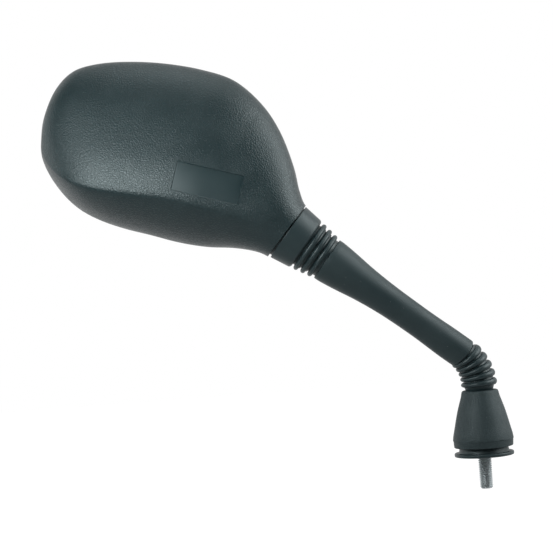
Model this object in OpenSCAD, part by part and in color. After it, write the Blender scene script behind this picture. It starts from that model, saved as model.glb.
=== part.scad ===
// Handlebar mirror with a friction swivel foot, a knuckled stem, a ball-jointed head and rubber bellows.
// Millimetres. The origin is the centre of the foot's underside, on the axis of the fixing stud.
// +Z runs up along the stud and the mirror glass faces +Y.

/* [Foot] */
// Diameter of the fixing stud
stud_d = 8; // [6:0.5:10]
// Length of the fixing stud below the foot
stud_len = 19.5; // [12:0.5:40]
// Diameter of the foot's flange
flange_d = 35; // [34.4:0.1:40]
// Thickness of the foot's flange
flange_t = 2; // [1.5:0.1:4]
// Diameter of the foot's neck, in the groove under the base cone
foot_neck_d = 30; // [29:0.25:31]
// Height of the foot's neck above the flange
foot_neck_h = 3; // [2.4:0.1:5]
// Diameter of the stud's shoulder, held inside the foot's neck
shoulder_d = 26; // [24:0.25:27]
// Thickness of the stud's shoulder
shoulder_t = 2.6; // [2:0.1:4]
// Diameter of the post that the base turns on
post_d = 10; // [8:0.25:11]
// Diameter of the post's threaded end
post_end_d = 6; // [5:0.25:7]

/* [Base] */
// Thickness of the swivel's friction washer
swivel_washer_t = 1; // [0.6:0.1:2]
// Diameter of the yoke's round plate
yoke_plate_d = 26.6; // [25:0.2:28]
// Thickness of the yoke's round plate
yoke_plate_t = 4.2; // [3.5:0.1:5]
// Thickness of each leg of the yoke
yoke_leg_t = 2; // [1.6:0.1:2.2]
// Width of each leg of the yoke
yoke_leg_w = 9; // [7:0.25:10]
// Clear width between the legs, around the swivel nut
yoke_gap_low = 13.2; // [12.6:0.2:14]
// Height of the stack of disc springs
disc_spring_h = 2.6; // [2:0.1:4]
// Diameter of the disc springs
disc_spring_d = 12.4; // [10:0.1:12.5]
// Width of the swivel nut across its flats
swivel_nut_af = 10; // [9:0.25:10.8]
// Height of the swivel nut
swivel_nut_h = 5; // [4:0.25:7]
// How much wider the base cone is than the foot's flange
cone_over_flange = 0.3; // [0:0.1:2]
// Diameter of the base cone at its top, before the edge is rounded
cone_top_d = 21.6; // [21:0.1:24]
// Height of the base cone's top above the origin
cone_top_z = 38.6; // [38:0.2:44]
// Wall of the base cone
cone_wall = 2; // [1.4:0.1:2.2]

/* [Knuckle] */
// Outer diameter of the yoke's ears and of the stem's eye
knuckle_d = 11; // [10:0.2:11.4]
// Thickness of the stem's eye
eye_t = 3.4; // [2.8:0.1:3.8]
// Thickness of each friction washer beside the eye
knuckle_washer_t = 0.5; // [0.3:0.05:0.7]
// Diameter of the knuckle's rivet
rivet_d = 5; // [4:0.1:5.5]
// Diameter of the rivet's heads
rivet_head_d = 7.6; // [7:0.1:8]

/* [Stem] */
// Height at which the stem's axis crosses the stud's axis
stem_axis_z = 54; // [53:0.2:60]
// Lean of the stem from upright
stem_tilt = 51; // [46:0.5:54]
// Distance along the stem's axis from that crossing to the ball
ball_at = 116; // [105:0.5:140]
// Diameter of the stem's steel rod
rod_d = 8; // [7:0.1:8.4]
// Diameter of the rod's neck at the ball
rod_neck_d = 6; // [5:0.1:6.4]
// Diameter of the ball
ball_d = 14; // [13.4:0.1:14.6]
// Distance along the stem's axis from the crossing to the sleeve's lower end
sleeve_from = 11; // [10:0.25:13]
// Gap between the sleeve's upper end and the ball's centre
sleeve_to_ball = 8; // [8:0.1:10]
// Diameter of the sleeve at its lower end
sleeve_low_d = 18.5; // [17.5:0.1:20]
// Diameter of the sleeve at its slimmest
sleeve_slim_d = 17.8; // [16:0.1:19]
// Diameter of the sleeve at its upper end
sleeve_top_d = 26.6; // [25:0.1:28]
// Wall of the sleeve where it is hollow
sleeve_wall = 2.8; // [2:0.1:3.2]
// Length of the bush between rod and sleeve
bush_len = 8; // [5:0.5:12]

/* [Ball socket] */
// Wall of the seats round the ball
seat_t = 1.4; // [1:0.1:1.6]
// Wall of the socket round the seats
socket_wall = 2.1; // [1.6:0.1:2.2]
// Half angle of the socket's mouth, through which the rod leaves
mouth_angle = 46; // [44:0.5:50]
// Length of the plug that loads the seats
plug_len = 6; // [4:0.5:7]
// Thickness of the socket's bracket plate
bracket_t = 2.9; // [2:0.1:3.5]

/* [Bellows] */
// Number of pleats at the knuckle
low_pleats = 5; // [3:1:7]
// Diameter of the lowest pleat at the knuckle
low_pleat_d = 20.9; // [20:0.1:24]
// Diameter of the highest pleat at the knuckle
high_pleat_d = 19; // [18.6:0.1:22]
// Depth of the grooves between those pleats
low_groove = 1.5; // [0.8:0.1:1.6]
// Rubber wall at the bottom of those grooves
boot_wall = 0.9; // [0.6:0.1:1]
// Number of pleats at the ball
top_pleats = 3; // [2:1:5]
// Spacing of the pleats at the ball
top_pitch = 4.4; // [3.6:0.1:4.6]
// Depth of the grooves between those pleats
top_groove = 1.4; // [0.8:0.1:1.6]
// Diameter of the collar at the pleats
collar_low_d = 32.3; // [31:0.1:34]
// Diameter of the collar at the head
collar_top_d = 35.3; // [34:0.1:37]
// Length of the collar
collar_len = 13.5; // [11:0.1:13.8]

/* [Head] */
// Outer diameter of the head's neck
neck_d = 37.4; // [37:0.1:39]
// Distance from the ball's centre to the end of the head's neck
neck_at = 21.2; // [21:0.1:24]
// Wall of the head's shell
shell_wall = 2.5; // [2:0.1:2.8]
// Distance of the widest outline in front of the stem's axis
outline_y = 10; // [8:0.5:11]
// Distance of the rim's face in front of the stem's axis
rim_y = 17; // [16:0.5:19]
// Depth of the shell behind its widest outline
shell_depth = 38; // [34:0.5:44]
// Width of the rim between the shell's outline and the glass opening
rim_w = 6.5; // [5.5:0.1:8]
// Gap between the rim and the glass
glass_gap = 0.5; // [0.3:0.1:1]
// Thickness of the mirror glass
glass_t = 2; // [1.6:0.1:2.4]
// Radius of the convex mirror glass
glass_radius = 1250; // [1000:50:2000]
// Depth of the glass behind the rim's face, at its middle
glass_inset = 0.8; // [0.4:0.1:1.2]
// Thickness of the glass carrier
carrier_t = 2; // [1.6:0.1:2.6]
// Distance of the carrier's face in front of the stem's axis
carrier_y = 10.5; // [10:0.1:11]
// Length of the smooth recess on the shell's back
recess_len = 38.6; // [34:0.1:42]
// Height of the smooth recess
recess_h = 16.6; // [14:0.1:19]
// Depth of the smooth recess
recess_depth = 0.5; // [0.3:0.1:1]

/* [Screws] */
// Shank diameter of the screws inside the head
screw_d = 3; // [2.5:0.1:3.4]
// Head diameter of the screws inside the head
screw_head_d = 6; // [5.4:0.1:6.6]
// Length of the carrier's screws
screw_len = 9; // [6:0.5:10]
// Length of the bracket's screws under the head
bracket_screw_len = 6; // [5:0.25:6.5]
// Diameter of the screw bosses inside the shell
boss_d = 7.6; // [7:0.1:9]

/* [Fits] */
// Running clearance of pins and ball seats, on the radius
run_fit = 0.04; // [0.02:0.01:0.06]
// Clearance of pieces that are fitted and stay put
seat_fit = 0.1; // [0.05:0.01:0.15]
// Clearance between soft pieces and what moves beside them
soft_gap = 0.5; // [0.3:0.05:0.7]

/* [Hidden] */
$fn = 96;

black_rubber = [0.16, 0.19, 0.20];
black_plastic = [0.18, 0.22, 0.23];
zinc_steel = [0.70, 0.71, 0.70];
zinc_cast = [0.58, 0.60, 0.62];
white_nylon = [0.88, 0.87, 0.82];
grey_foam = [0.35, 0.35, 0.37];
silver_glass = [0.80, 0.85, 0.88];

// Heights of the stack on the post, from the foot up
shoulder_z = flange_t + 0.2;
washer_z = shoulder_z + shoulder_t;
plate_z = washer_z + swivel_washer_t;
plate_top = plate_z + yoke_plate_t;
spring_top = plate_top + disc_spring_h;
nut_top = spring_top + swivel_nut_h;
cone_low_z = flange_t + foot_neck_h + 0.3;
chamfer = 1;

// Base cone's profile, from its lower edge to its top
cone_r = (flange_d + cone_over_flange) / 2;
cone_top_r = cone_top_d / 2;
cone_wide_z = cone_low_z + 3.3;
cone_round = 1.2;
cone_hole_r = cone_top_r - 2.6;
cone_side = [
    [cone_r - 0.55, cone_low_z],
    [cone_r, cone_wide_z],
    [cone_r - 0.35, cone_wide_z + 4],
    [cone_r - 1, cone_wide_z + 7.4],
    [(cone_r + cone_top_r) / 2, (cone_wide_z + cone_top_z) / 2 + 2.6],
    [cone_top_r + 0.4, cone_top_z - 3],
    [cone_top_r, cone_top_z - cone_round]
];

// Bend of the bellows at the knuckle, from the cone's top to the sleeve's lower end
sleeve_foot = [-sleeve_from * sin(stem_tilt), stem_axis_z + sleeve_from * cos(stem_tilt)];
bend_rise = sleeve_foot[1] - cone_top_z;
bend_angle = 2 * atan2(-sleeve_foot[0], bend_rise);
bend_r = bend_rise / sin(bend_angle);
bend_sag = 0.8;
boot_sides = 28;
boot_steps = 8;

// The knuckle sits half way round that bend
knuckle = bend_point(0.5);
knuckle_r = knuckle_d / 2;
ear_in = eye_t / 2 + knuckle_washer_t + 0.05;
ear_out = ear_in + yoke_leg_t;
knuckle_in_stem = to_stem(knuckle);

// Stem
rod_r = rod_d / 2;
rod_neck_r = rod_neck_d / 2;
ball_r = ball_d / 2;
eye_blend = sleeve_from + 1;
rod_in_ball = 3;
rod_shoulder = ball_at - ball_r - 4;
sleeve_to = ball_at - sleeve_to_ball;
sleeve_len = sleeve_to - sleeve_from;
sleeve_side = [
    [sleeve_low_d / 2 - 0.1, -0.1],
    [sleeve_low_d / 2, 0],
    [sleeve_low_d / 2 + 0.05, 0.11],
    [(sleeve_low_d + 2 * sleeve_slim_d) / 6, 0.22],
    [sleeve_slim_d / 2, 0.34],
    [sleeve_slim_d / 2 + 0.4, 0.54],
    [sleeve_slim_d / 2 + 1.6, 0.71],
    [sleeve_top_d / 2 - 0.8, 0.87],
    [sleeve_top_d / 2 + 0.05, 0.96],
    [sleeve_top_d / 2, 1],
    [sleeve_top_d / 2 - 0.1, 1.1]
];
bush_top = sleeve_to - 10;

// Ball socket, measured from the ball's centre
seat_in = ball_r + run_fit;
seat_out = seat_in + seat_t;
socket_in = seat_out + run_fit;
socket_out = socket_in + socket_wall;
ring_edge = 80;
cup_edge = 97;
socket_low = 2;
plug_from = seat_out + 2.6;
plug_to = plug_from + plug_len;
socket_mouth = neck_at + 7.4;
bracket_from = socket_mouth - 2.2;
socket_collar_r = 12.6;
bracket_y = -socket_in - bracket_t - 1;
bracket_face = bracket_y + bracket_t;
bracket_holes = [[-6, neck_at + 21], [12, neck_at + 21], [4, neck_at + 35]];
bracket_outline = [
    [-9, bracket_from], [9, bracket_from], [17, neck_at + 19], [17, neck_at + 26],
    [9, neck_at + 40], [-1, neck_at + 40], [-11, neck_at + 26], [-11, neck_at + 19]
];

// Bellows and collar at the ball, measured from the ball's centre
boot_low = -sleeve_to_ball + soft_gap;
collar_to = neck_at - 1;
collar_from = collar_to - collar_len;
pleat_r = 1.75;
boot_bore_r = socket_out + 0.75;
collar_bore_r = socket_out + run_fit;

// Head outline: places where a rung crosses the head from its upper edge to its lower edge.
// Each place is [across the stem, along the stem from the end of the head's neck].
neck_r = neck_d / 2;
upper_edge = [
    [neck_r, 0], [23, 7.5], [33, 19], [45.5, 37], [53, 55], [55.5, 76.5], [50, 96.5],
    [40.5, 117], [29, 135.5], [17.5, 150], [6, 159], [-8, 161.5], [-23, 158.5]
];
lower_edge = [
    [-neck_r, 0], [-20.5, 8.5], [-26, 20], [-34.5, 34], [-41.5, 49], [-47.5, 65], [-53.5, 80.5],
    [-57.5, 95], [-59, 108], [-57.5, 120.5], [-53, 133.5], [-47, 143.5], [-39.5, 149.5]
];
tip = [-33, 154];
tip_at = len(upper_edge);
upper_rail = concat([[neck_r, -8]], upper_edge, [tip], [lower_edge[tip_at - 1]]);
lower_rail = concat([[-neck_r, -8]], lower_edge, [tip], [upper_edge[tip_at - 1]]);

// Values at each rung, with one more rung before the first and after the tip: how far the depth
// has swelled from the neck's, how far it has closed towards the tip, how far the front has turned
// from round to flat, how far the back has turned from round to ridged, and where the ridge runs
swell_share = [0, 0, 0.12, 0.44, 0.76, 0.93, 1, 1, 1, 1, 1, 1, 1, 1, 1, 1];
close_share = [1, 1, 1, 1, 1, 1, 1, 1, 0.985, 0.935, 0.815, 0.645, 0.46, 0.265, 0, -0.27];
front_share = [0, 0, 0.08, 0.45, 0.86, 1, 1, 1, 1, 1, 1, 1, 1, 0.7, 0, -0.7];
ridge_share = [0, 0, 0.12, 0.5, 0.85, 1, 1, 1, 1, 0.95, 0.8, 0.55, 0.3, 0.1, 0, 0];
ridge_place = [
    -0.3, -0.3, -0.35, -0.43, -0.5, -0.55, -0.57, -0.575, -0.6, -0.65, -0.7, -0.72, -0.72, -0.7, -0.7, -0.7
];
flank_swell = 0.55;
top_swell = 0.5;
ridge_round = 0.1;
rim_power = 12;
shell_rungs = concat([for (k = [0 : 0.32 : 12.2]) k], [12.45, 12.7, 12.85]);
cavity_rungs = concat([for (k = [0.5 : 0.55 : 12]) k], [12.35, 12.65]);

// Screw places of the glass carrier, [across the stem, along the stem from the neck's end]
carrier_holes = [[38, 62], [-30, 68], [-26, 134], [20, 122]];
pilot_d = screw_d + 0.4;
boss_sides = 20;
screw_head_h = 1.8;

// Rung at which the glass opening's straight sides start
glass_from = 3.4;

// Middle of the glass and of the recess, in the same way as the screw places
glass_mid = [0, 92];
recess_mid = [-3.9, 53.3];
recess_turn = -67.8;

// Helpers

// Place on a smooth curve through points 1 to n - 2 of a list, at a real number t
function curve(p, t) =
    let (i = min(max(floor(t), 0), len(p) - 4), f = t - i)
    0.5 * (2 * p[i + 1] + (p[i + 2] - p[i]) * f
        + (2 * p[i] - 5 * p[i + 1] + 4 * p[i + 2] - p[i + 3]) * f * f
        + (3 * p[i + 1] - p[i] - 3 * p[i + 2] + p[i + 3]) * f * f * f);

function unit(v) = v / norm(v);

// Turns a place in the XZ plane into one across and along the stem
function to_stem(p) = [
    p[0] * cos(stem_tilt) + (p[1] - stem_axis_z) * sin(stem_tilt),
    -p[0] * sin(stem_tilt) + (p[1] - stem_axis_z) * cos(stem_tilt)
];

// Middle of the knuckle's bellows, u from 0 at the cone to 1 at the sleeve
function bend_point(u) = [
    -bend_r * (1 - cos(bend_angle * u)) - bend_sag * sin(180 * min(max(u, 0), 1)),
    cone_top_z + bend_r * sin(bend_angle * u)
];
function bend_tilt(u) = stem_tilt * pow(max(u, 0), 1.2);

// Radius of the knuckle's bellows, with round pleats between u = 0.06 and u = 0.97
function pleat_wave(u) =
    let (s = (u - 0.06) / 0.91)
    s <= 0 || s >= 1 ? 0 : pow(abs(sin(180 * low_pleats * s)), 0.9);
function boot_out(u) =
    low_pleat_d / 2 + (high_pleat_d - low_pleat_d) / 2 * min(max(u, 0), 1)
        - low_groove * (1 - pleat_wave(u));
function boot_in(u) =
    (low_pleat_d + (high_pleat_d - low_pleat_d) * min(max(u, 0), 1)) / 2 - low_groove - boot_wall;

// One rail of the head moved in from the outline by a wall; side is 1 for upper, -1 for lower
function rail(k, side, inset) =
    let (
        p = side > 0 ? upper_rail : lower_rail,
        here = curve(p, k),
        way = unit(curve(p, min(k + 0.02, tip_at)) - curve(p, min(k + 0.02, tip_at) - 0.04))
    )
    here - side * inset * [way[1], -way[0]];

// Profile of the head's back across a rung, 0 at the outline and near 1 at its deepest.
// The ridged one is the lower of two slopes that meet at c, with their edge rounded.
function round_back(a) = sqrt(max(1 - a * a, 0));
function ridged_back(a, c) =
    let (
        t = (1 - a) / (1 - c),
        s = (c - a) / (1 + c),
        top = top_swell * pow(max(1 - pow(1 - t, 4), 0), 1 / 2.2) + (1 - top_swell) * t,
        flank = flank_swell * sqrt(max(1 - pow(max(s, 0), 2), 0)) + (1 - flank_swell) * (1 - s)
    )
    max((top + flank - sqrt(pow(top - flank, 2) + ridge_round * ridge_round)) / 2, 0);
function flat_front(a) = sqrt(max(1 - pow(abs(a), rim_power), 0));

// Section of the head across rung k, as points [across, y, along]
function section(k, inset, n_top, n_flank, n_front) =
    let (
        u = rail(k, 1, inset),
        l = rail(k, -1, inset),
        mid = (u + l) / 2,
        half = (u - l) / 2,
        body = min(max(curve(front_share, min(k, 5)), 0), 1),
        ridge = min(max(curve(ridge_share, k), 0), 1),
        c = curve(ridge_place, k),
        y0 = outline_y * body,
        end = k > 5 ? max(curve(front_share, k), 0) : 1,
        full_depth = (neck_r + (shell_depth - neck_r) * curve(swell_share, k)) * curve(close_share, k),
        full_front = (neck_r + (rim_y - neck_r) * body - y0) * end,
        depth = inset > 0 ? max(full_depth - inset * 1.1, full_depth * 0.4) : full_depth,
        front = inset > 0 ? max(full_front - inset, full_front * 0.4) : full_front,
        top = [for (i = [0 : n_top - 1]) 1 - (1 - c) * (1 - cos(180 * i / n_top)) / 2],
        flank = [for (i = [n_flank : -1 : 1]) -1 + (1 + c) * (1 - cos(180 * i / n_flank)) / 2],
        face = [for (i = [0 : n_front - 1]) -cos(180 * i / n_front)]
    )
    concat(
        [for (a = concat(top, flank))
            let (
                f = (1 - ridge) * round_back(a) + ridge * ridged_back(a, c),
                q = mid + half * a
            )
            [q[0], y0 - depth * f, q[1]]],
        [for (a = face)
            let (
                f = (1 - body) * round_back(a) + body * flat_front(a),
                q = mid + half * a
            )
            [q[0], y0 + front * f, q[1]]]
    );

// Closed solid through sections that all have as many points
module loft(sections) {
    m = len(sections[0]);
    n = len(sections);
    points = [for (s = sections) for (p = s) p];
    low_cap = [for (j = [m - 1 : -1 : 0]) j];
    top_cap = [for (j = [0 : m - 1]) (n - 1) * m + j];
    walls = [for (i = [0 : n - 2]) for (j = [0 : m - 1])
        let (
            a = i * m + j,
            b = i * m + (j + 1) % m,
            c = a + m,
            d = b + m
        )
        each [[a, b, c], [b, d, c]]];
    polyhedron(points, concat([low_cap], walls, [top_cap]), convexity = 8);
}

// Outline of the glass opening moved in from the rails, closed by a round end towards the neck
function glass_outline(inset) =
    let (
        a = rail(glass_from, 1, inset),
        b = rail(glass_from, -1, inset),
        wa = unit(a - rail(glass_from + 0.3, 1, inset)),
        wb = unit(b - rail(glass_from + 0.3, -1, inset)),
        reach = norm(a - b) * 0.62
    )
    concat(
        [for (k = [glass_from : 0.5 : tip_at]) rail(k, 1, inset)],
        [for (k = [tip_at - 0.5 : -0.5 : glass_from]) rail(k, -1, inset)],
        [for (s = [0.125 : 0.125 : 0.875])
            pow(1 - s, 3) * b + 3 * pow(1 - s, 2) * s * (b + wb * reach)
                + 3 * (1 - s) * s * s * (a + wa * reach) + pow(s, 3) * a]
    );

// Frames: stem() puts its children on the stem's axis, with Z along it.
// ball() starts at the ball's centre and head() at the end of the head's neck.
module stem() {
    translate([0, 0, stem_axis_z]) rotate([0, -stem_tilt, 0]) children();
}
module ball() {
    stem() translate([0, 0, ball_at]) children();
}
module head() {
    stem() translate([0, 0, ball_at + neck_at]) children();
}
// Lays an outline drawn [across, along] in the head's plane, thick from y_low to y_high
module in_plane(y_low, y_high) {
    translate([0, y_high, 0]) rotate([90, 0, 0]) linear_extrude(y_high - y_low) children();
}
module disc(r, hole_r, h) {
    difference() {
        cylinder(r = r, h = h);
        translate([0, 0, -1]) cylinder(r = hole_r, h = h + 2);
    }
}

// Foot, fixed to the vehicle

module mount_stud() {
    stud_r = stud_d / 2;
    color(zinc_steel) {
        translate([0, 0, -stud_len]) cylinder(r1 = stud_r - chamfer, r2 = stud_r, h = chamfer);
        translate([0, 0, chamfer - stud_len]) cylinder(r = stud_r, h = stud_len - chamfer);
        cylinder(r = stud_r + 0.2, h = shoulder_z);
        translate([0, 0, shoulder_z]) cylinder(d = shoulder_d, h = shoulder_t);
        translate([0, 0, washer_z]) cylinder(d = post_d, h = plate_top - washer_z - 0.2);
        cylinder(d = post_end_d, h = nut_top + 1.5);
    }
}

module foot_gasket() {
    edge = 0.5;
    flange_r = flange_d / 2;
    neck_in = shoulder_d / 2 + seat_fit;
    color(black_rubber) rotate_extrude() difference() {
        union() {
            square([flange_r - edge, flange_t]);
            translate([0, edge]) square([flange_r, flange_t - 2 * edge]);
            translate([flange_r - edge, edge]) circle(r = edge, $fn = 32);
            translate([flange_r - edge, flange_t - edge]) circle(r = edge, $fn = 32);
            square([foot_neck_d / 2, flange_t + foot_neck_h]);
        }
        translate([-1, -1]) square([stud_d / 2 + 0.2 + seat_fit + 1, flange_t + 2]);
        translate([-1, flange_t]) square([neck_in + 1, foot_neck_h + 1]);
    }
}

module swivel_washer() {
    color(white_nylon) translate([0, 0, washer_z])
        disc(shoulder_d / 2 - 1, post_d / 2 + seat_fit, swivel_washer_t);
}

module disc_springs() {
    count = 2;
    step = disc_spring_h / count;
    sheet = 0.7;
    outer_r = disc_spring_d / 2;
    inner_r = post_end_d / 2 + 0.3;
    color(zinc_steel) translate([0, 0, plate_top]) rotate_extrude()
        for (i = [0 : count - 1]) {
            low = i % 2 == 0 ? outer_r : inner_r;
            high = i % 2 == 0 ? inner_r : outer_r;
            side = low > high ? 1.6 : -1.6;
            polygon([
                [low, i * step], [low, i * step + sheet], [high + side, (i + 1) * step],
                [high, (i + 1) * step], [high, (i + 1) * step - sheet], [low - side, i * step]
            ]);
        }
}

module swivel_nut() {
    across_corners = swivel_nut_af / cos(30);
    color(zinc_steel) translate([0, 0, spring_top]) difference() {
        intersection() {
            cylinder(d = across_corners, h = swivel_nut_h, $fn = 6);
            cylinder(r1 = across_corners / 2 + 2, r2 = swivel_nut_af / 2 - 0.05, h = swivel_nut_h * 1.35);
        }
        translate([0, 0, -1]) cylinder(d = post_end_d, h = swivel_nut_h + 2);
    }
}

// Base, which turns on the foot

// Side view of the yoke's legs, ending in the round ears
module yoke_side() {
    half = yoke_leg_w / 2;
    translate(knuckle) circle(r = knuckle_r);
    polygon([
        [-half, plate_top - 1], [half, plate_top - 1], [half, cone_top_z - 3],
        [knuckle[0] + knuckle_r, knuckle[1]], [knuckle[0] - knuckle_r, knuckle[1]],
        [-half - 0.6, cone_top_z + 1], [-half, cone_top_z - 5]
    ]);
}

// Front view of one leg, wide round the nut and drawn in to the ears
module yoke_leg(side) {
    low = yoke_gap_low / 2;
    joggle = cone_top_z - 8.5;
    narrow = cone_top_z - 0.8;
    top = knuckle[1] + knuckle_r + 1;
    polygon([
        [side * low, plate_top - 1], [side * (low + yoke_leg_t), plate_top - 1],
        [side * (low + yoke_leg_t), joggle], [side * ear_out, narrow], [side * ear_out, top],
        [side * ear_in, top], [side * ear_in, narrow - 0.8], [side * low, joggle - 0.8]
    ]);
}

module swivel_yoke() {
    color(zinc_cast) {
        translate([0, 0, plate_z]) disc(yoke_plate_d / 2, post_d / 2 + run_fit, yoke_plate_t);
        difference() {
            intersection() {
                translate([0, 12, 0]) rotate([90, 0, 0]) linear_extrude(24) yoke_side();
                union() {
                    for (side = [-1, 1])
                        translate([-14, 0, 0]) rotate([90, 0, 90]) linear_extrude(28) yoke_leg(side);
                }
            }
            translate([knuckle[0], 10, knuckle[1]]) rotate([90, 0, 0])
                cylinder(r = rivet_d / 2, h = 20);
        }
    }
}

module base_cone() {
    ledge_z = plate_top;
    ledge_t = 1.5;
    steps = [for (t = [0 : 0.5 : 4]) t];
    side = concat([cone_side[0]], [for (t = steps) curve(cone_side, t)], [cone_side[6]]);
    low_inner = cone_r - cone_wall - 0.6;
    color(black_plastic) rotate_extrude() {
        difference() {
            polygon(concat(
                [[0, cone_low_z]], side,
                [[cone_top_r - 0.35, cone_top_z - 0.35], [cone_top_r - cone_round, cone_top_z],
                 [0, cone_top_z]]
            ));
            polygon(concat(
                [[-1, cone_low_z - 1], [low_inner, cone_low_z - 1], [low_inner, cone_low_z]],
                [for (t = [0.5 : 0.5 : 4]) curve(cone_side, t) - [cone_wall, 0]],
                [[cone_top_r - cone_wall + 0.2, cone_top_z - 3], [cone_hole_r, cone_top_z - 2.2],
                 [cone_hole_r, cone_top_z + 1], [-1, cone_top_z + 1]]
            ));
        }
        translate([yoke_plate_d / 2 - 2, ledge_z])
            square([cone_r - cone_wall - yoke_plate_d / 2 + 2.3, ledge_t]);
    }
}

module knuckle_rivet() {
    head_h = 1.5;
    head_r = rivet_head_d / 2;
    color(zinc_steel) translate([knuckle[0], 0, knuckle[1]]) rotate([90, 0, 0]) {
        translate([0, 0, -ear_out - 0.5]) cylinder(r = rivet_d / 2, h = 2 * ear_out + 1);
        for (turn = [0, 180]) rotate([turn, 0, 0]) translate([0, 0, ear_out]) {
            cylinder(r = head_r, h = head_h * 0.4);
            translate([0, 0, head_h * 0.4]) cylinder(r1 = head_r, r2 = head_r - 1.3, h = head_h * 0.6);
        }
    }
}

module knuckle_washers() {
    color(white_nylon) translate([knuckle[0], 0, knuckle[1]]) rotate([90, 0, 0])
        for (turn = [0, 180]) rotate([turn, 0, 0]) translate([0, 0, eye_t / 2])
            disc(knuckle_r - 0.4, rivet_d / 2 + seat_fit, knuckle_washer_t);
}

// One ring of the knuckle's bellows, tilted with the bend
function boot_ring(u, r) =
    let (c = bend_point(u), tilt = bend_tilt(u))
    [for (j = [0 : boot_sides - 1])
        let (a = 360 * j / boot_sides)
        [c[0] + r * cos(a) * cos(tilt), r * sin(a), c[1] + r * cos(a) * sin(tilt)]];

module lower_boot() {
    plug_r = cone_hole_r - 0.2;
    steps = low_pleats * boot_steps;
    last = 1 - soft_gap / bend_rise;
    // The foot of the boot is tucked into the cone's top
    outside = concat(
        [boot_ring(-0.1, plug_r), boot_ring(0.02, plug_r)],
        [for (i = [0 : steps]) let (u = 0.06 + 0.91 * i / steps) boot_ring(u, boot_out(u))],
        [boot_ring(last, boot_out(last))]
    );
    inside = [for (u = [last, 0.84, 0.68, 0.52, 0.36, 0.22, 0.11]) boot_ring(u, boot_in(u))];
    tuck = [for (u = [0.04, -0.1]) boot_ring(u, plug_r - boot_wall)];
    rings = concat(outside, inside, tuck);
    n = len(rings);
    m = boot_sides;
    color(black_rubber) polyhedron(
        [for (r = rings) for (p = r) p],
        [for (i = [0 : n - 1]) for (j = [0 : m - 1])
            let (
                a = i * m + j,
                b = i * m + (j + 1) % m,
                c = ((i + 1) % n) * m + j,
                d = ((i + 1) % n) * m + (j + 1) % m
            )
            each [[a, c, b], [b, c, d]]],
        convexity = 10
    );
}

// Stem, which tilts on the knuckle

module stem_rod() {
    e = knuckle_in_stem;
    top = [0, eye_blend];
    way = unit(top - e);
    across = [way[1], -way[0]];
    color(zinc_steel) stem() {
        difference() {
            in_plane(-eye_t / 2, eye_t / 2) {
                translate(e) circle(r = knuckle_r);
                polygon([
                    e - across * knuckle_r, e + across * knuckle_r,
                    [rod_r - 0.2, eye_blend], [0.2 - rod_r, eye_blend]
                ]);
            }
            translate([e[0], 10, e[1]]) rotate([90, 0, 0])
                cylinder(r = rivet_d / 2 + run_fit, h = 20);
        }
        translate([0, 0, eye_blend - 2]) cylinder(r = rod_r, h = rod_shoulder - eye_blend + 2);
        translate([0, 0, rod_shoulder - 1]) cylinder(r = rod_neck_r, h = ball_at - rod_shoulder + rod_in_ball + 1);
    }
}

module stem_ball() {
    color(zinc_steel) ball() difference() {
        sphere(r = ball_r);
        translate([0, 0, -ball_r - 1]) cylinder(r = rod_neck_r, h = ball_r + rod_in_ball + 1.5);
    }
}

module arm_sleeve() {
    places = [for (i = [0 : 0.5 : 8]) curve(sleeve_side, i)];
    hollow = [for (i = [5 : 0.5 : 8]) curve(sleeve_side, i)];
    lead = 4;
    color(black_rubber) stem() translate([0, 0, sleeve_from]) rotate_extrude() difference() {
        polygon(concat(
            [[0, 0], [places[0][0] - 0.5, 0], [places[0][0], 0.5]],
            [for (i = [1 : len(places) - 2]) [places[i][0], places[i][1] * sleeve_len]],
            [[places[16][0], sleeve_len - 0.6], [places[16][0] - 0.6, sleeve_len], [0, sleeve_len]]
        ));
        translate([-1, -1]) square([rod_r + 1, sleeve_len + 2]);
        translate([-1, -1]) square([rod_r + 2, lead + 1]);
        polygon(concat(
            [[0, hollow[0][1] * sleeve_len - rod_d], [rod_r, hollow[0][1] * sleeve_len - rod_d]],
            [for (p = hollow) [p[0] - sleeve_wall, p[1] * sleeve_len]],
            [[hollow[6][0] - sleeve_wall, sleeve_len + 1], [0, sleeve_len + 1]]
        ));
    }
}

// The bush fills the sleeve's bore, so it takes its shape from the sleeve
module sleeve_bush() {
    from = bush_top - bush_len - sleeve_from;
    to = bush_top - sleeve_from;
    hollow = [for (i = [5 : 0.5 : 8]) curve(sleeve_side, i)];
    color(white_nylon) stem() translate([0, 0, sleeve_from]) rotate_extrude() intersection() {
        polygon(concat(
            [[rod_r, 0], [rod_r, sleeve_len]],
            [for (i = [6 : -1 : 0]) [hollow[i][0] - sleeve_wall - 0.02, hollow[i][1] * sleeve_len]],
            [[rod_r + 0.1, 0]]
        ));
        translate([0, from]) square([sleeve_top_d, to - from]);
    }
}

// Ball seats, one to each side of the ball's middle

// Part of a hollow ball between two angles from the rod's side, drawn for rotate_extrude
module zone(r_in, r_out, from, to) {
    steps = 12;
    arc = [for (i = [0 : steps]) from + (to - from) * i / steps];
    far = 2 * r_out;
    intersection() {
        difference() {
            circle(r = r_out);
            circle(r = r_in);
        }
        polygon(concat([[0, 0]], [for (a = arc) far * [sin(a), -cos(a)]]));
    }
}

module seat_ring() {
    color(white_nylon) ball() rotate_extrude() zone(seat_in, seat_out, mouth_angle, ring_edge);
}

module seat_cup() {
    color(white_nylon) ball() rotate_extrude() zone(seat_in, seat_out, cup_edge, 180);
}

// Head, which swings on the ball

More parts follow.
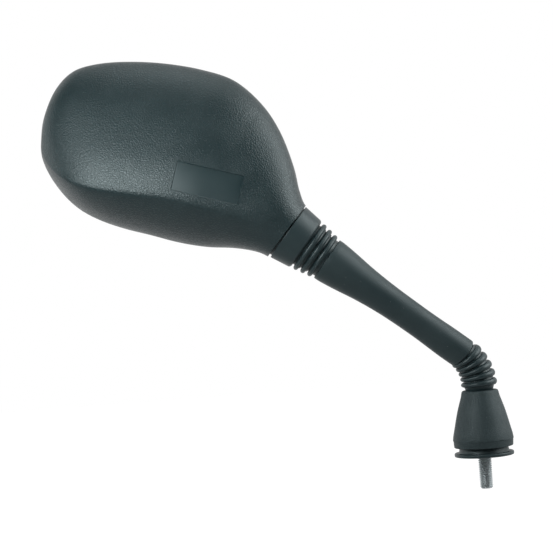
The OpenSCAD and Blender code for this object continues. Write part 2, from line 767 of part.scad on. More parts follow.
module neck_socket() {
    color(zinc_cast) ball() {
        rotate_extrude() {
            zone(socket_in, socket_out, mouth_angle, 90);
            translate([socket_in, 0]) square([socket_wall, neck_at - 1]);
            polygon([
                [socket_in, neck_at - 3], [socket_out, neck_at - 2.6], [socket_collar_r, neck_at - 0.6],
                [socket_collar_r, socket_mouth], [socket_in + 1, socket_mouth], [socket_in, neck_at]
            ]);
        }
        difference() {
            union() {
                in_plane(bracket_y, bracket_face) polygon(bracket_outline);
                for (side = [-1, 1]) translate([side * 8.2 - 1.2, 0, 0])
                    rotate([90, 0, 90]) linear_extrude(2.4) polygon([
                        [bracket_y + 1, bracket_from], [-6.6, bracket_from],
                        [-6.6, socket_mouth], [bracket_face, neck_at + 18], [bracket_y + 1, neck_at + 18]
                    ]);
            }
            for (h = bracket_holes) translate([h[0], bracket_face + 1, h[1]]) rotate([90, 0, 0])
                cylinder(d = pilot_d, h = bracket_t + 2);
            translate([0, 0, socket_low]) cylinder(r = socket_in + 0.5, h = socket_mouth);
        }
    }
}

module socket_spring() {
    low = sqrt(seat_out * seat_out - 16) + 0.15;
    color(zinc_steel) ball() rotate_extrude() polygon([
        [4, low], [5, low], [socket_in - 0.4, plug_from - 0.8], [socket_in - 0.4, plug_from],
        [socket_in - 1.4, plug_from], [4, low + 0.8]
    ]);
}

module socket_plug() {
    key_af = 8;
    color(zinc_steel) ball() difference() {
        translate([0, 0, plug_from]) cylinder(r = socket_in - 0.05, h = plug_len);
        translate([0, 0, plug_to - 3]) cylinder(d = key_af / cos(30), h = 4, $fn = 6);
    }
}

module upper_boot() {
    top_r = collar_top_d / 2;
    low_r = collar_low_d / 2;
    start_r = (sleeve_top_d - 2.2) / 2;
    edge = 0.9;
    color(black_rubber) ball() rotate_extrude() difference() {
        union() {
            // Core of the pleats, widening from the sleeve to the collar
            polygon([
                [boot_bore_r - 0.5, boot_low], [start_r, boot_low],
                [low_r - top_groove, collar_from + 1], [boot_bore_r - 0.5, collar_from + 1]
            ]);
            for (i = [0 : top_pleats - 1]) {
                z = collar_from - (top_pleats - i) * top_pitch + 1.9;
                r = sleeve_top_d / 2 + (low_r - sleeve_top_d / 2) * (i + 1) / (top_pleats + 1);
                translate([r - pleat_r, z]) circle(r = pleat_r, $fn = 48);
            }
            // Collar, with a rounded edge at each end
            polygon([
                [boot_bore_r - 1, collar_from], [low_r - edge, collar_from],
                [low_r, collar_from + edge], [top_r, collar_to - edge],
                [top_r - edge, collar_to], [boot_bore_r - 1, collar_to]
            ]);
            translate([low_r - edge, collar_from + edge]) circle(r = edge, $fn = 32);
            translate([top_r - edge, collar_to - edge]) circle(r = edge, $fn = 32);
            // Lip that closes the gap to the head's neck
            translate([boot_bore_r, collar_to - 1])
                square([top_r - 1.4 - boot_bore_r, neck_at - seat_fit - collar_to + 1]);
        }
        translate([0, boot_low - 1]) square([boot_bore_r, collar_from - boot_low + 1]);
        translate([0, collar_from - 1]) square([collar_bore_r, neck_at - collar_from - 1.6]);
        polygon([
            [0, neck_at - 2.8], [collar_bore_r, neck_at - 2.8],
            [socket_collar_r + 0.3, neck_at - 0.8], [socket_collar_r + 0.3, neck_at + 1],
            [0, neck_at + 1]
        ]);
    }
}

// A tapered boss from deep in the shell's back up to a seat, with two fins
module boss(place, y_top, fin) {
    y_low = outline_y - shell_depth;
    translate([place[0], 0, place[1]]) {
        hull() {
            translate([0, y_top, 0]) rotate([90, 0, 0]) cylinder(d = boss_d, h = 1, $fn = boss_sides);
            translate([0, y_low, 0]) rotate([90, 0, 0]) cylinder(d = boss_d + 2, h = 1, $fn = boss_sides);
        }
        for (turn = [0, 90]) rotate([0, turn, 0]) hull() {
            translate([-boss_d / 2, y_top - 4, -0.7]) cube([boss_d, 1, 1.4]);
            translate([-boss_d / 2 - fin, y_low, -0.7]) cube([boss_d + 2 * fin, 1, 1.4]);
        }
    }
}

module outer_shell() {
    loft([for (k = shell_rungs) section(k, 0, 14, 8, 14)]);
}

module head_shell() {
    color(black_plastic) head() difference() {
        outer_shell();
        // Cavity, with the screw bosses left standing in it
        difference() {
            loft([for (k = cavity_rungs) section(k, shell_wall, 9, 5, 10)]);
            for (p = carrier_holes) boss(p, carrier_y - carrier_t, 5);
            for (p = bracket_holes) boss([p[0], p[1] - neck_at], bracket_y, 2);
        }
        // Glass opening in front
        in_plane(carrier_y, rim_y + 5) polygon(glass_outline(rim_w));
        // Bore of the neck
        translate([0, 0, -1]) cylinder(r = socket_collar_r + seat_fit, h = 12);
        // Pilot holes of the screws
        for (p = carrier_holes) translate([p[0], carrier_y, p[1]])
            rotate([90, 0, 0]) cylinder(d = pilot_d, h = screw_len + 2, $fn = boss_sides);
        for (p = bracket_holes) translate([p[0], bracket_face, p[1] - neck_at])
            rotate([90, 0, 0]) cylinder(d = pilot_d, h = bracket_screw_len + 0.5, $fn = boss_sides);
        // Shallow recess that follows the shell's back
        difference() {
            in_plane(outline_y - shell_depth - 5, -8)
                translate(recess_mid) rotate(recess_turn) square([recess_len, recess_h], center = true);
            translate([0, recess_depth, 0]) outer_shell();
        }
    }
}

// Pan head screws through the socket's bracket
module socket_screws() {
    color(zinc_steel) ball() for (p = bracket_holes)
        translate([p[0], bracket_face + screw_head_h, p[1]]) rotate([90, 0, 0]) {
            cylinder(d1 = screw_head_d - 1.2, d2 = screw_head_d, h = 0.6);
            translate([0, 0, 0.6]) cylinder(d = screw_head_d, h = screw_head_h - 0.6);
            cylinder(d = screw_d, h = screw_head_h + bracket_screw_len);
        }
}

module glass_carrier() {
    sink = (screw_head_d - screw_d) / 2;
    color(black_plastic) head() difference() {
        in_plane(carrier_y - carrier_t, carrier_y) polygon(glass_outline(rim_w + glass_gap + 0.4));
        for (p = carrier_holes) translate([p[0], carrier_y, p[1]]) rotate([90, 0, 0]) {
            translate([0, 0, -1]) cylinder(d = screw_d + 0.2, h = carrier_t + 2);
            cylinder(d1 = screw_head_d + 0.2, d2 = screw_d + 0.2, h = sink);
        }
    }
}

// Countersunk screws that hold the carrier, flush under the foam pad
module carrier_screws() {
    sink = (screw_head_d - screw_d) / 2;
    color(zinc_steel) head() for (p = carrier_holes)
        translate([p[0], carrier_y, p[1]]) rotate([90, 0, 0]) {
            cylinder(d1 = screw_head_d, d2 = screw_d, h = sink);
            cylinder(d = screw_d, h = screw_len);
        }
}

// Front of a large ball, turned about the axis of the convex glass and centred far behind the head.
// A coarse one has short straight steps in place of the true curve.
module glass_ball(r, coarse = false) {
    cap_h = 12;
    cap_r = 110;
    translate([glass_mid[0], rim_y - glass_inset - glass_radius, glass_mid[1]])
        rotate([-90, 0, 0]) rotate_extrude() {
            if (coarse) {
                polygon(concat([[0, r - cap_h]], [for (s = [0 : 10 : cap_r]) [s, sqrt(r * r - s * s)]],
                    [[cap_r, r - cap_h]]));
            } else {
                intersection() {
                    circle(r = r, $fn = 1440);
                    translate([0, r - cap_h]) square([cap_r, cap_h]);
                }
            }
        }
}

module foam_pad() {
    color(grey_foam) head() intersection() {
        in_plane(carrier_y, rim_y) polygon(glass_outline(rim_w + glass_gap + 3));
        glass_ball(glass_radius - glass_t, coarse = true);
    }
}

module mirror_glass() {
    color(silver_glass) head() difference() {
        intersection() {
            in_plane(carrier_y, rim_y) polygon(glass_outline(rim_w + glass_gap));
            glass_ball(glass_radius);
        }
        glass_ball(glass_radius - glass_t);
    }
}

mount_stud();
foot_gasket();
swivel_washer();
disc_springs();
swivel_nut();
swivel_yoke();
base_cone();
knuckle_rivet();
knuckle_washers();
lower_boot();
stem_rod();
stem_ball();
arm_sleeve();
sleeve_bush();
seat_ring();
seat_cup();
neck_socket();
socket_spring();
socket_plug();
upper_boot();
head_shell();
socket_screws();
glass_carrier();
carrier_screws();
foam_pad();
mirror_glass();
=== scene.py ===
"""Looks of a handlebar mirror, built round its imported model.

Shapes are worked out in millimetres and placed in the row frame, in metres. Three frames are used:
the foot's, with Z up the fixing stud; the stem's, as (across, y, along) from a place on its axis;
and the head's, which is the stem's frame from the end of the head's neck.
"""

import math

import bmesh
import bpy
import numpy as np
from mathutils import Matrix, Vector
from mathutils.bvhtree import BVHTree


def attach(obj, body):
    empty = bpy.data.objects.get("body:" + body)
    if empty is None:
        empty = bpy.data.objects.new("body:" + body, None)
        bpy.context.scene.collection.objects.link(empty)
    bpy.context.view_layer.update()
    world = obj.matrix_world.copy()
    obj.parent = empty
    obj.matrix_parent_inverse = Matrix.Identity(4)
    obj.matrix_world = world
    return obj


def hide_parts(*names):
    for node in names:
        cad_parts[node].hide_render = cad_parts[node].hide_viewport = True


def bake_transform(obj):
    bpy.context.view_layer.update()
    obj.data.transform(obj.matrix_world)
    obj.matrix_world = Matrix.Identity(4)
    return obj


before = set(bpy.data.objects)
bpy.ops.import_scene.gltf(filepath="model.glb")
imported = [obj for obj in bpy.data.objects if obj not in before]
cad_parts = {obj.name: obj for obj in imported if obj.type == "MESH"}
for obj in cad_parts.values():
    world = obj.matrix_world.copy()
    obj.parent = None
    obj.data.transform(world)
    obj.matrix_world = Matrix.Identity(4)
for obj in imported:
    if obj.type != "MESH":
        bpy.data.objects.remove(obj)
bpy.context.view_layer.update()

MM = 0.001

# Sizes that the source of the part gives, in millimetres and degrees
STEM_LEAN = 51
STEM_START = 54
SLEEVE_FROM = 11
BALL_AT = 116
NECK_AT = BALL_AT + 21.2
COLLAR_TO = 20.2
COLLAR_LEN = 12.9
CONE_LOW = 5.3
CONE_TOP = 38.6
END_TILT = 39.5
END_LEAN = 10

# The three ways of the stem's frame
ACROSS = np.array([math.cos(math.radians(STEM_LEAN)), 0, math.sin(math.radians(STEM_LEAN))])
ALONG = np.array([-math.sin(math.radians(STEM_LEAN)), 0, math.cos(math.radians(STEM_LEAN))])
SIDE = np.array([0, 1, 0])


# Places and curves

def from_stem(points, start=0.0):
    """Row frame metres of (across, y, along) points that start at a place on the stem's axis."""
    p = np.asarray(points, float).reshape(-1, 3)
    out = p[:, :1] * ACROSS + p[:, 1:2] * SIDE + (p[:, 2:] + start) * ALONG
    out[:, 2] += STEM_START
    return out * MM


def from_foot(points):
    """Row frame metres of points in the foot's frame."""
    return np.asarray(points, float).reshape(-1, 3) * MM


def curve(points, t):
    """Place on a smooth curve through all but the first and last of some points."""
    p = np.asarray(points, float)
    i = min(max(math.floor(t), 0), len(p) - 4)
    f = t - i
    a, b, c, d = p[i:i + 4]
    return 0.5 * (2 * b + (c - a) * f + (2 * a - 5 * b + 4 * c - d) * f ** 2
                  + (3 * b - a - 3 * c + d) * f ** 3)


def unit(v):
    return v / np.linalg.norm(v)


def rounded(corners, steps=5):
    """Closed outline whose corners, each (r, h, rounding), are eased by their rounding."""
    out = []
    n = len(corners)
    for i, (r, h, ease) in enumerate(corners):
        here = np.array([r, h], float)
        if ease <= 0:
            out.append(here)
            continue
        before = np.array(corners[i - 1][:2], float) - here
        after = np.array(corners[(i + 1) % n][:2], float) - here
        reach = min(ease, 0.49 * np.linalg.norm(before), 0.49 * np.linalg.norm(after))
        start, end = here + unit(before) * reach, here + unit(after) * reach
        for s in np.linspace(0, 1, steps + 1):
            out.append((1 - s) ** 2 * start + 2 * s * (1 - s) * here + s ** 2 * end)
    return np.array(out)


# Meshes

def grid_faces(rows, columns, close_rows):
    faces = []
    for i in range(rows if close_rows else rows - 1):
        for j in range(columns):
            a, b = i * columns + j, i * columns + (j + 1) % columns
            up = (i + 1) % rows * columns
            faces.append((a, b, up + (j + 1) % columns, up + j))
    return faces


def finish_mesh(obj, sharp=40.0):
    """Merges doubles, turns faces outwards and shades smooth up to a sharp angle."""
    bm = bmesh.new()
    bm.from_mesh(obj.data)
    bmesh.ops.remove_doubles(bm, verts=bm.verts, dist=1e-7)
    bmesh.ops.dissolve_degenerate(bm, dist=1e-8, edges=bm.edges)
    bmesh.ops.recalc_face_normals(bm, faces=bm.faces)
    bm.to_mesh(obj.data)
    bm.free()
    obj.data.shade_smooth()
    obj.data.set_sharp_from_angle(angle=math.radians(sharp))
    return obj


def bare(name, points=(), faces=()):
    """A new object in the scene from points in metres."""
    mesh = bpy.data.meshes.new(name)
    mesh.from_pydata([tuple(p) for p in points], [], list(faces))
    obj = bpy.data.objects.new(name, mesh)
    bpy.context.scene.collection.objects.link(obj)
    return obj


def make(name, points, faces, *finishes):
    """A new object with a finished mesh."""
    obj = bare(name, points, faces)
    for finish in finishes:
        obj.data.materials.append(finish)
    return finish_mesh(obj)


def turned(outline, sides=128):
    """Points (x, y, h) and faces of a closed outline of (r, h) turned about its axis."""
    angles = np.arange(sides) * 2 * math.pi / sides
    points = [(r * math.cos(a), r * math.sin(a), h) for r, h in outline for a in angles]
    return np.array(points), grid_faces(len(outline), sides, True)


def lofted(sections):
    """Points and faces of a closed solid through sections that have as many points each."""
    count, ring = len(sections), len(sections[0])
    points = np.concatenate(sections)
    faces = grid_faces(count, ring, False)
    faces.append(tuple(range(ring)))
    faces.append(tuple((count - 1) * ring + j for j in range(ring)))
    return points, faces


def joined(parts):
    """Several (points, faces) as one."""
    points, faces, start = [], [], 0
    for p, f in parts:
        points.append(np.asarray(p, float))
        faces += [tuple(start + i for i in face) for face in f]
        start += len(p)
    return np.concatenate(points), faces


def evaluated(obj):
    """Gives an object the mesh that its modifiers make, and takes them off."""
    bpy.context.view_layer.update()
    graph = bpy.context.evaluated_depsgraph_get()
    made = bpy.data.meshes.new_from_object(obj.evaluated_get(graph), depsgraph=graph,
                                           preserve_all_data_layers=True)
    obj.modifiers.clear()
    obj.data = made
    return obj


def cut(obj, tool, operation="DIFFERENCE", own_overlaps=False):
    """Boolean of an object with a tool, whose faces keep the tool's material. The tool goes."""
    step = obj.modifiers.new("cut", "BOOLEAN")
    step.solver = "EXACT"
    step.operation = operation
    step.material_mode = "TRANSFER"
    step.use_self = own_overlaps
    step.object = tool
    evaluated(obj)
    bpy.data.objects.remove(tool)
    return obj


def rides(obj, body, node):
    """A rigid piece of a body, in place of a CAD node."""
    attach(obj, body)
    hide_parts(node)


def bends(obj, first, second, start, end, node):
    """A rubber piece in place of a CAD node, with its placing baked into its mesh."""
    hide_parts(node)
    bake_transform(obj)


# Shader node helpers

def shader_group(name, inputs, outputs):
    """An empty shader node group, its inputs (name, type, default), its outputs (name, type)."""
    group = bpy.data.node_groups.new(name, "ShaderNodeTree")
    for label, kind, value in inputs:
        group.interface.new_socket(label, in_out="INPUT", socket_type=kind).default_value = value
    for label, kind in outputs:
        group.interface.new_socket(label, in_out="OUTPUT", socket_type=kind)
    return group, group.nodes.new("NodeGroupInput"), group.nodes.new("NodeGroupOutput")


def feed(tree, socket, value):
    """Links a socket to another node's output, or sets it to a constant."""
    if isinstance(value, bpy.types.NodeSocket):
        tree.links.new(value, socket)
    else:
        socket.default_value = value


def add(tree, kind, values=None, **settings):
    node = tree.nodes.new(kind)
    for key, value in settings.items():
        setattr(node, key, value)
    for key, value in (values or {}).items():
        feed(tree, node.inputs[key], value)
    return node


def math_node(tree, operation, *values, clamp=False):
    node = tree.nodes.new("ShaderNodeMath")
    node.operation = operation
    node.use_clamp = clamp
    for i, value in enumerate(values):
        feed(tree, node.inputs[i], value)
    return node.outputs[0]


def coordinate(tree, kind, axis):
    """One axis of a texture coordinate."""
    place = add(tree, "ShaderNodeTexCoord").outputs[kind]
    return add(tree, "ShaderNodeSeparateXYZ", {0: place}).outputs[axis]


def spread(tree, value, low, high, to_low, to_high, smooth=False):
    """Maps a value from one range to another, held at its ends."""
    node = add(tree, "ShaderNodeMapRange", {"Value": value, "From Min": low, "From Max": high,
                                            "To Min": to_low, "To Max": to_high})
    node.interpolation_type = "SMOOTHSTEP" if smooth else "LINEAR"
    return node.outputs["Result"]


def leather_grain_group():
    """Moulded leather grain: rounded pebbles with fine creases between them."""
    tree, given, out = shader_group(
        "moulded_grain",
        [("Pebble Size", "NodeSocketFloat", 0.9), ("Crease", "NodeSocketFloat", 0.25),
         ("Unevenness", "NodeSocketFloat", 0.5)],
        [("Height", "NodeSocketFloat"), ("Crease Mask", "NodeSocketFloat")])
    place = add(tree, "ShaderNodeTexCoord").outputs["Object"]
    per_metre = math_node(tree, "DIVIDE", 1000.0, given.outputs["Pebble Size"])

    def noise(scale, **values):
        return add(tree, "ShaderNodeTexNoise", {"Vector": place, "Scale": scale, **values}).outputs

    def times(a, b):
        return math_node(tree, "MULTIPLY", a, b)

    sway = noise(times(per_metre, 0.8), Detail=2.0)["Color"]
    moved = add(tree, "ShaderNodeVectorMath", {0: sway, 1: (0.5, 0.5, 0.5)}, operation="SUBTRACT")
    moved = add(tree, "ShaderNodeVectorMath", {0: moved.outputs[0], "Scale": 0.0008},
                operation="SCALE")
    moved = add(tree, "ShaderNodeVectorMath", {0: place, 1: moved.outputs[0]}, operation="ADD")
    cells = add(tree, "ShaderNodeTexVoronoi", {"Vector": moved.outputs[0], "Scale": per_metre},
                feature="DISTANCE_TO_EDGE")
    pebble = spread(tree, cells.outputs["Distance"], 0.0, given.outputs["Crease"], 0.0, 1.0, True)
    fine = noise(times(per_metre, 1.9), Detail=3.0, Roughness=0.6)["Fac"]
    broad = noise(times(per_metre, 0.33), Detail=2.0)["Fac"]
    rough = times(fine, given.outputs["Unevenness"])
    height = math_node(tree, "ADD", times(pebble, 0.55), rough)
    height = math_node(tree, "ADD", height, times(broad, 0.5))
    tree.links.new(height, out.inputs["Height"])
    # The crease mask is used to paint shade into the creases' colour and to roughen them.
    tree.links.new(math_node(tree, "SUBTRACT", 1.0, pebble), out.inputs["Crease Mask"])
    return tree


def handling_group():
    """Faint haze, dust specks and an uneven skin, as masks and a height over the surface."""
    tree, given, out = shader_group(
        "handling",
        [("Haze Size", "NodeSocketFloat", 18.0), ("Speck Size", "NodeSocketFloat", 1.2)],
        [("Haze", "NodeSocketFloat"), ("Specks", "NodeSocketFloat"),
         ("Micro Height", "NodeSocketFloat")])
    place = add(tree, "ShaderNodeTexCoord").outputs["Object"]
    haze = add(tree, "ShaderNodeTexNoise", {"Vector": place, "Scale": math_node(
        tree, "DIVIDE", 1000.0, given.outputs["Haze Size"]), "Detail": 5.0, "Roughness": 0.55})
    cells = add(tree, "ShaderNodeTexVoronoi", {"Vector": place, "Scale": math_node(
        tree, "DIVIDE", 1000.0, given.outputs["Speck Size"])}, feature="F1")
    chosen = math_node(tree, "GREATER_THAN", add(
        tree, "ShaderNodeSeparateColor", {0: cells.outputs["Color"]}).outputs[0], 0.965)
    dot = spread(tree, cells.outputs["Distance"], 0.06, 0.16, 1.0, 0.0, True)
    micro = add(tree, "ShaderNodeTexNoise", {"Vector": place, "Scale": 2600.0, "Detail": 3.0})
    tree.links.new(spread(tree, haze.outputs["Fac"], 0.35, 0.7, 0.0, 1.0, True),
                   out.inputs["Haze"])
    tree.links.new(math_node(tree, "MULTIPLY", chosen, dot), out.inputs["Specks"])
    tree.links.new(micro.outputs["Fac"], out.inputs["Micro Height"])
    return tree


GRAIN = leather_grain_group()
HANDLING = handling_group()


def material(name):
    made = bpy.data.materials.new(name)
    made.use_nodes = True
    tree = made.node_tree
    tree.nodes.clear()
    out = tree.nodes.new("ShaderNodeOutputMaterial")
    shader = tree.nodes.new("ShaderNodeBsdfPrincipled")
    tree.links.new(shader.outputs[0], out.inputs[0])
    return made, tree, shader


def grouped(tree, group, **values):
    node = tree.nodes.new("ShaderNodeGroup")
    node.node_tree = group
    for key, value in values.items():
        node.inputs[key.replace("_", " ")].default_value = value
    return node


def blended(tree, share, first, second):
    node = add(tree, "ShaderNodeMix", data_type="RGBA")
    for key, value in ((0, share), (6, first), (7, second)):
        feed(tree, node.inputs[key], value)
    return node.outputs[2]


def bumped(tree, shader, height, distance, strength=1.0):
    bump = add(tree, "ShaderNodeBump", {"Height": height, "Distance": distance,
                                        "Strength": strength})
    tree.links.new(bump.outputs["Normal"], shader.inputs["Normal"])


def moulded(name, dark, light, roughness, grain=None, bump=0.0, specks=0.0, specular=0.5,
            tint=(0.86, 0.99, 1.0)):
    """Black moulded plastic or rubber. With a grain it is (pebble size, crease, unevenness)."""
    made, tree, shader = material(name)
    low, high = roughness
    marks = grouped(tree, HANDLING)
    haze = marks.outputs["Haze"]
    colour = blended(tree, haze, (*dark, 1), (*light, 1))
    rough = spread(tree, haze, 0.0, 1.0, low, high)
    if grain:
        size, crease, uneven = grain
        skin = grouped(tree, GRAIN, Pebble_Size=size, Crease=crease, Unevenness=uneven)
        # Painted shade: the grain's creases are darkened in the base colour; they are also made
        # rougher.
        colour = blended(tree, math_node(tree, "MULTIPLY", skin.outputs["Crease Mask"], 0.45),
                         colour, (*[c * 0.45 for c in dark], 1))
        rough = math_node(tree, "ADD", rough, math_node(
            tree, "MULTIPLY", skin.outputs["Crease Mask"], 0.12))
        bumped(tree, shader, skin.outputs["Height"], bump)
    else:
        bumped(tree, shader, marks.outputs["Micro Height"], bump)
    if specks:
        colour = blended(tree, math_node(tree, "MULTIPLY", marks.outputs["Specks"], specks),
                         colour, (0.32, 0.34, 0.34, 1))
    tree.links.new(colour, shader.inputs["Base Color"])
    tree.links.new(rough, shader.inputs["Roughness"])
    shader.inputs["Specular IOR Level"].default_value = specular
    shader.inputs["Specular Tint"].default_value = (*tint, 1)
    return made


def metal(name, bright, dull, roughness, bump=2e-6, stain=25.0):
    """Plated or cast metal with soft stains and a fine uneven skin."""
    made, tree, shader = material(name)
    marks = grouped(tree, HANDLING, Haze_Size=stain)
    low, high = roughness
    tree.links.new(blended(tree, marks.outputs["Haze"], (*bright, 1), (*dull, 1)),
                   shader.inputs["Base Color"])
    tree.links.new(spread(tree, marks.outputs["Haze"], 0.0, 1.0, low, high),
                   shader.inputs["Roughness"])
    shader.inputs["Metallic"].default_value = 1.0
    bumped(tree, shader, marks.outputs["Micro Height"], bump)
    return made


# Near-black colours, clean and hazed, that several pieces share
SHELL_BLACK = (0.005, 0.015, 0.0175), (0.008, 0.019, 0.0215)
RUBBER_BLACK = (0.005, 0.014, 0.0165), (0.008, 0.018, 0.0205)

GRAINED = moulded("grained_shell", *SHELL_BLACK, (0.30, 0.36), grain=(1.5, 0.32, 0.85), bump=1.3e-4)
RECESS = moulded("smooth_recess", *SHELL_BLACK, (0.38, 0.44), bump=6e-6)
INSIDE = moulded("plain_inside", (0.006, 0.014, 0.016), (0.009, 0.018, 0.020), (0.5, 0.6),
                 bump=8e-6)
SATIN = moulded("satin_sleeve", *RUBBER_BLACK, (0.50, 0.58), bump=1.6e-5, specks=0.5)
RUBBER = moulded("boot_rubber", *RUBBER_BLACK, (0.42, 0.50), bump=1.2e-5)
CONE = moulded("cone_grain", (0.010, 0.021, 0.024), (0.014, 0.026, 0.029), (0.50, 0.58),
               grain=(0.9, 0.3, 0.8), bump=6e-5, specks=0.35)
FOOT = moulded("foot_rubber", *RUBBER_BLACK, (0.42, 0.5), bump=8e-6)
NYLON = moulded("white_nylon", (0.80, 0.79, 0.74), (0.86, 0.85, 0.80), (0.38, 0.48), bump=5e-6,
                tint=(1, 1, 1))
FOAM = moulded("grey_foam", (0.14, 0.14, 0.15), (0.22, 0.22, 0.23), (0.8, 0.9),
               grain=(0.35, 0.5, 1.0), bump=5e-5, specular=0.3)
ZINC = metal("zinc_plate", (0.80, 0.81, 0.80), (0.62, 0.64, 0.63), (0.24, 0.34))
STUD = metal("stud_steel", (0.52, 0.56, 0.57), (0.38, 0.42, 0.43), (0.22, 0.32))
SPRING = metal("spring_steel", (0.42, 0.42, 0.43), (0.30, 0.30, 0.32), (0.30, 0.42))
CAST = metal("cast_zinc", (0.56, 0.57, 0.59), (0.44, 0.45, 0.47), (0.45, 0.6), bump=2.5e-5,
             stain=9.0)


def mirror_material():
    """Silvered glass, with the faintest smears."""
    made, tree, shader = material("silvered_glass")
    marks = grouped(tree, HANDLING, Haze_Size=60.0)
    shader.inputs["Base Color"].default_value = (0.88, 0.91, 0.92, 1)
    shader.inputs["Metallic"].default_value = 1.0
    tree.links.new(spread(tree, marks.outputs["Haze"], 0.0, 1.0, 0.012, 0.035),
                   shader.inputs["Roughness"])
    return made


MIRROR = mirror_material()
GROUND_EDGE = moulded("ground_glass_edge", (0.10, 0.16, 0.15), (0.16, 0.23, 0.21), (0.45, 0.6),
                      bump=6e-6, tint=(1, 1, 1))


# Head

NECK_R = 18.7
NECK_SLANT = 0.65
NECK_BORE_R = 12.7
NECK_BORE_DEEP = 11
OUTLINE_Y = 10
RIM_Y = 17
SHELL_DEPTH = 37.2
SHELL_WALL = 2.5
RIM_W = 6.5
GLASS_GAP = 0.5
CARRIER_Y = 10.5
RECESS_MID = (-3.9, 53.3)
RECESS_TURN = -67.8
RECESS_SIZE = (38.6, 16.6)
RECESS_DEPTH = 0.5
RECESS_SLANT = 0.45
SPECK_AT = (23.1, 106.9)

# The head's outline, as (across, along) up its two edges to its tip
UPPER_EDGE = [(NECK_R, 0), (23.6, 7.3), (33.9, 18.6), (46.2, 36.6), (53.7, 55), (56.0, 76.5),
              (50.3, 96.5), (40.6, 117), (29, 135.5), (17.3, 149.8), (5.8, 158.7), (-8, 161.1),
              (-23, 158.2)]
LOWER_EDGE = [(-NECK_R, 0), (-20.5, 8.5), (-26, 20), (-34.8, 34), (-42.0, 49), (-47.9, 65),
              (-53.8, 80.5), (-57.9, 95), (-59.5, 108), (-58.0, 120.7), (-53.6, 133.7),
              (-47.5, 143.9), (-39.8, 149.8)]
TIP = (-33, 154)
TIP_AT = len(UPPER_EDGE)
UPPER_RAIL = [(NECK_R, -8)] + UPPER_EDGE + [TIP, LOWER_EDGE[-1]]
LOWER_RAIL = [(-NECK_R, -8)] + LOWER_EDGE + [TIP, UPPER_EDGE[-1]]

# At each rung of the outline: shares of the full depth and its closing, of the flat front and
# of the back's ridge. The ridge's place goes from the upper edge (1) to the lower one (-1).
SWELL_SHARE = [0, 0, 0.12, 0.44, 0.76, 0.93, 1, 1, 1, 1, 1, 1, 1, 1, 1, 1]
CLOSE_SHARE = [1, 1, 1, 1, 1, 1, 1, 1, 0.985, 0.935, 0.815, 0.645, 0.46, 0.265, 0, -0.27]
FRONT_SHARE = [0, 0, 0.08, 0.45, 0.86, 1, 1, 1, 1, 1, 1, 1, 1, 0.7, 0, -0.7]
RIDGE_SHARE = [0, 0, 0.12, 0.5, 0.85, 1, 1, 1, 1, 0.95, 0.8, 0.55, 0.3, 0.1, 0, 0]

# The ridge runs straight from near the middle at the neck to near the lower edge, ten rungs on
RIDGE_FROM = -0.3
RIDGE_TO = -0.82
RIDGE_RUN = 10
RIDGE_PLACE = [RIDGE_FROM + (RIDGE_TO - RIDGE_FROM) * min(max(k, 0), RIDGE_RUN) / RIDGE_RUN
               for k in range(-1, TIP_AT + 2)]

# The slopes beside the ridge: how full each is, and where and how fast the upper one rolls over
FLANK_SWELL = 0.55
TOP_SWELL = 0.47
ROLL_FROM = 0.68
ROLL_RATE = 1.55
RIDGE_ROUND = 0.03
RIM_POWER = 12

GLASS_FROM = 3.4
GLASS_MIDDLE = np.array([0.0, 92.0])
GLASS_RADIUS = 1250
CARRIER_HOLES = [(38, 62), (-30, 68), (-26, 134), (20, 122)]
BRACKET_HOLES = [(-6, 21), (12, 21), (4, 35)]
BRACKET_FACE = -9.48
BRACKET_BOSS_TOP = -12.38


def held(value, low=0.0, high=1.0):
    return min(max(float(value), low), high)


def rail(k, side, inset):
    """One edge of the head at a rung, moved in from the outline by an inset."""
    points = UPPER_RAIL if side > 0 else LOWER_RAIL
    here = curve(points, k)
    ahead = min(k + 0.02, TIP_AT)
    way = unit(curve(points, ahead) - curve(points, ahead - 0.04))
    return here - side * inset * np.array([way[1], -way[0]])


def round_back(a):
    return np.sqrt(np.maximum(1 - a * a, 0))


def ridged_back(a, c):
    """Profile of the back: the lower of two slopes that meet at a ridge c, with a rounded edge.

    The upper slope rolls over before it reaches the ridge.
    """
    t, s = (1 - a) / (1 - c), (c - a) / (1 + c)
    roll = t - ROLL_RATE * np.maximum(t - ROLL_FROM, 0) ** 2
    top = TOP_SWELL * np.maximum(1 - (1 - t) ** 4, 0) ** (1 / 2.2) + (1 - TOP_SWELL) * roll
    top = top / (TOP_SWELL + (1 - TOP_SWELL) * (ROLL_FROM + 0.25 / ROLL_RATE))
    flank = FLANK_SWELL * np.sqrt(np.maximum(1 - np.maximum(s, 0) ** 2, 0)) \
        + (1 - FLANK_SWELL) * (1 - s)
    return np.maximum((top + flank - np.sqrt((top - flank) ** 2 + RIDGE_ROUND ** 2)) / 2, 0)


def eased(count):
    """Numbers from 0 towards 1, closer together at both ends."""
    return (1 - np.cos(math.pi * np.arange(count) / count)) / 2


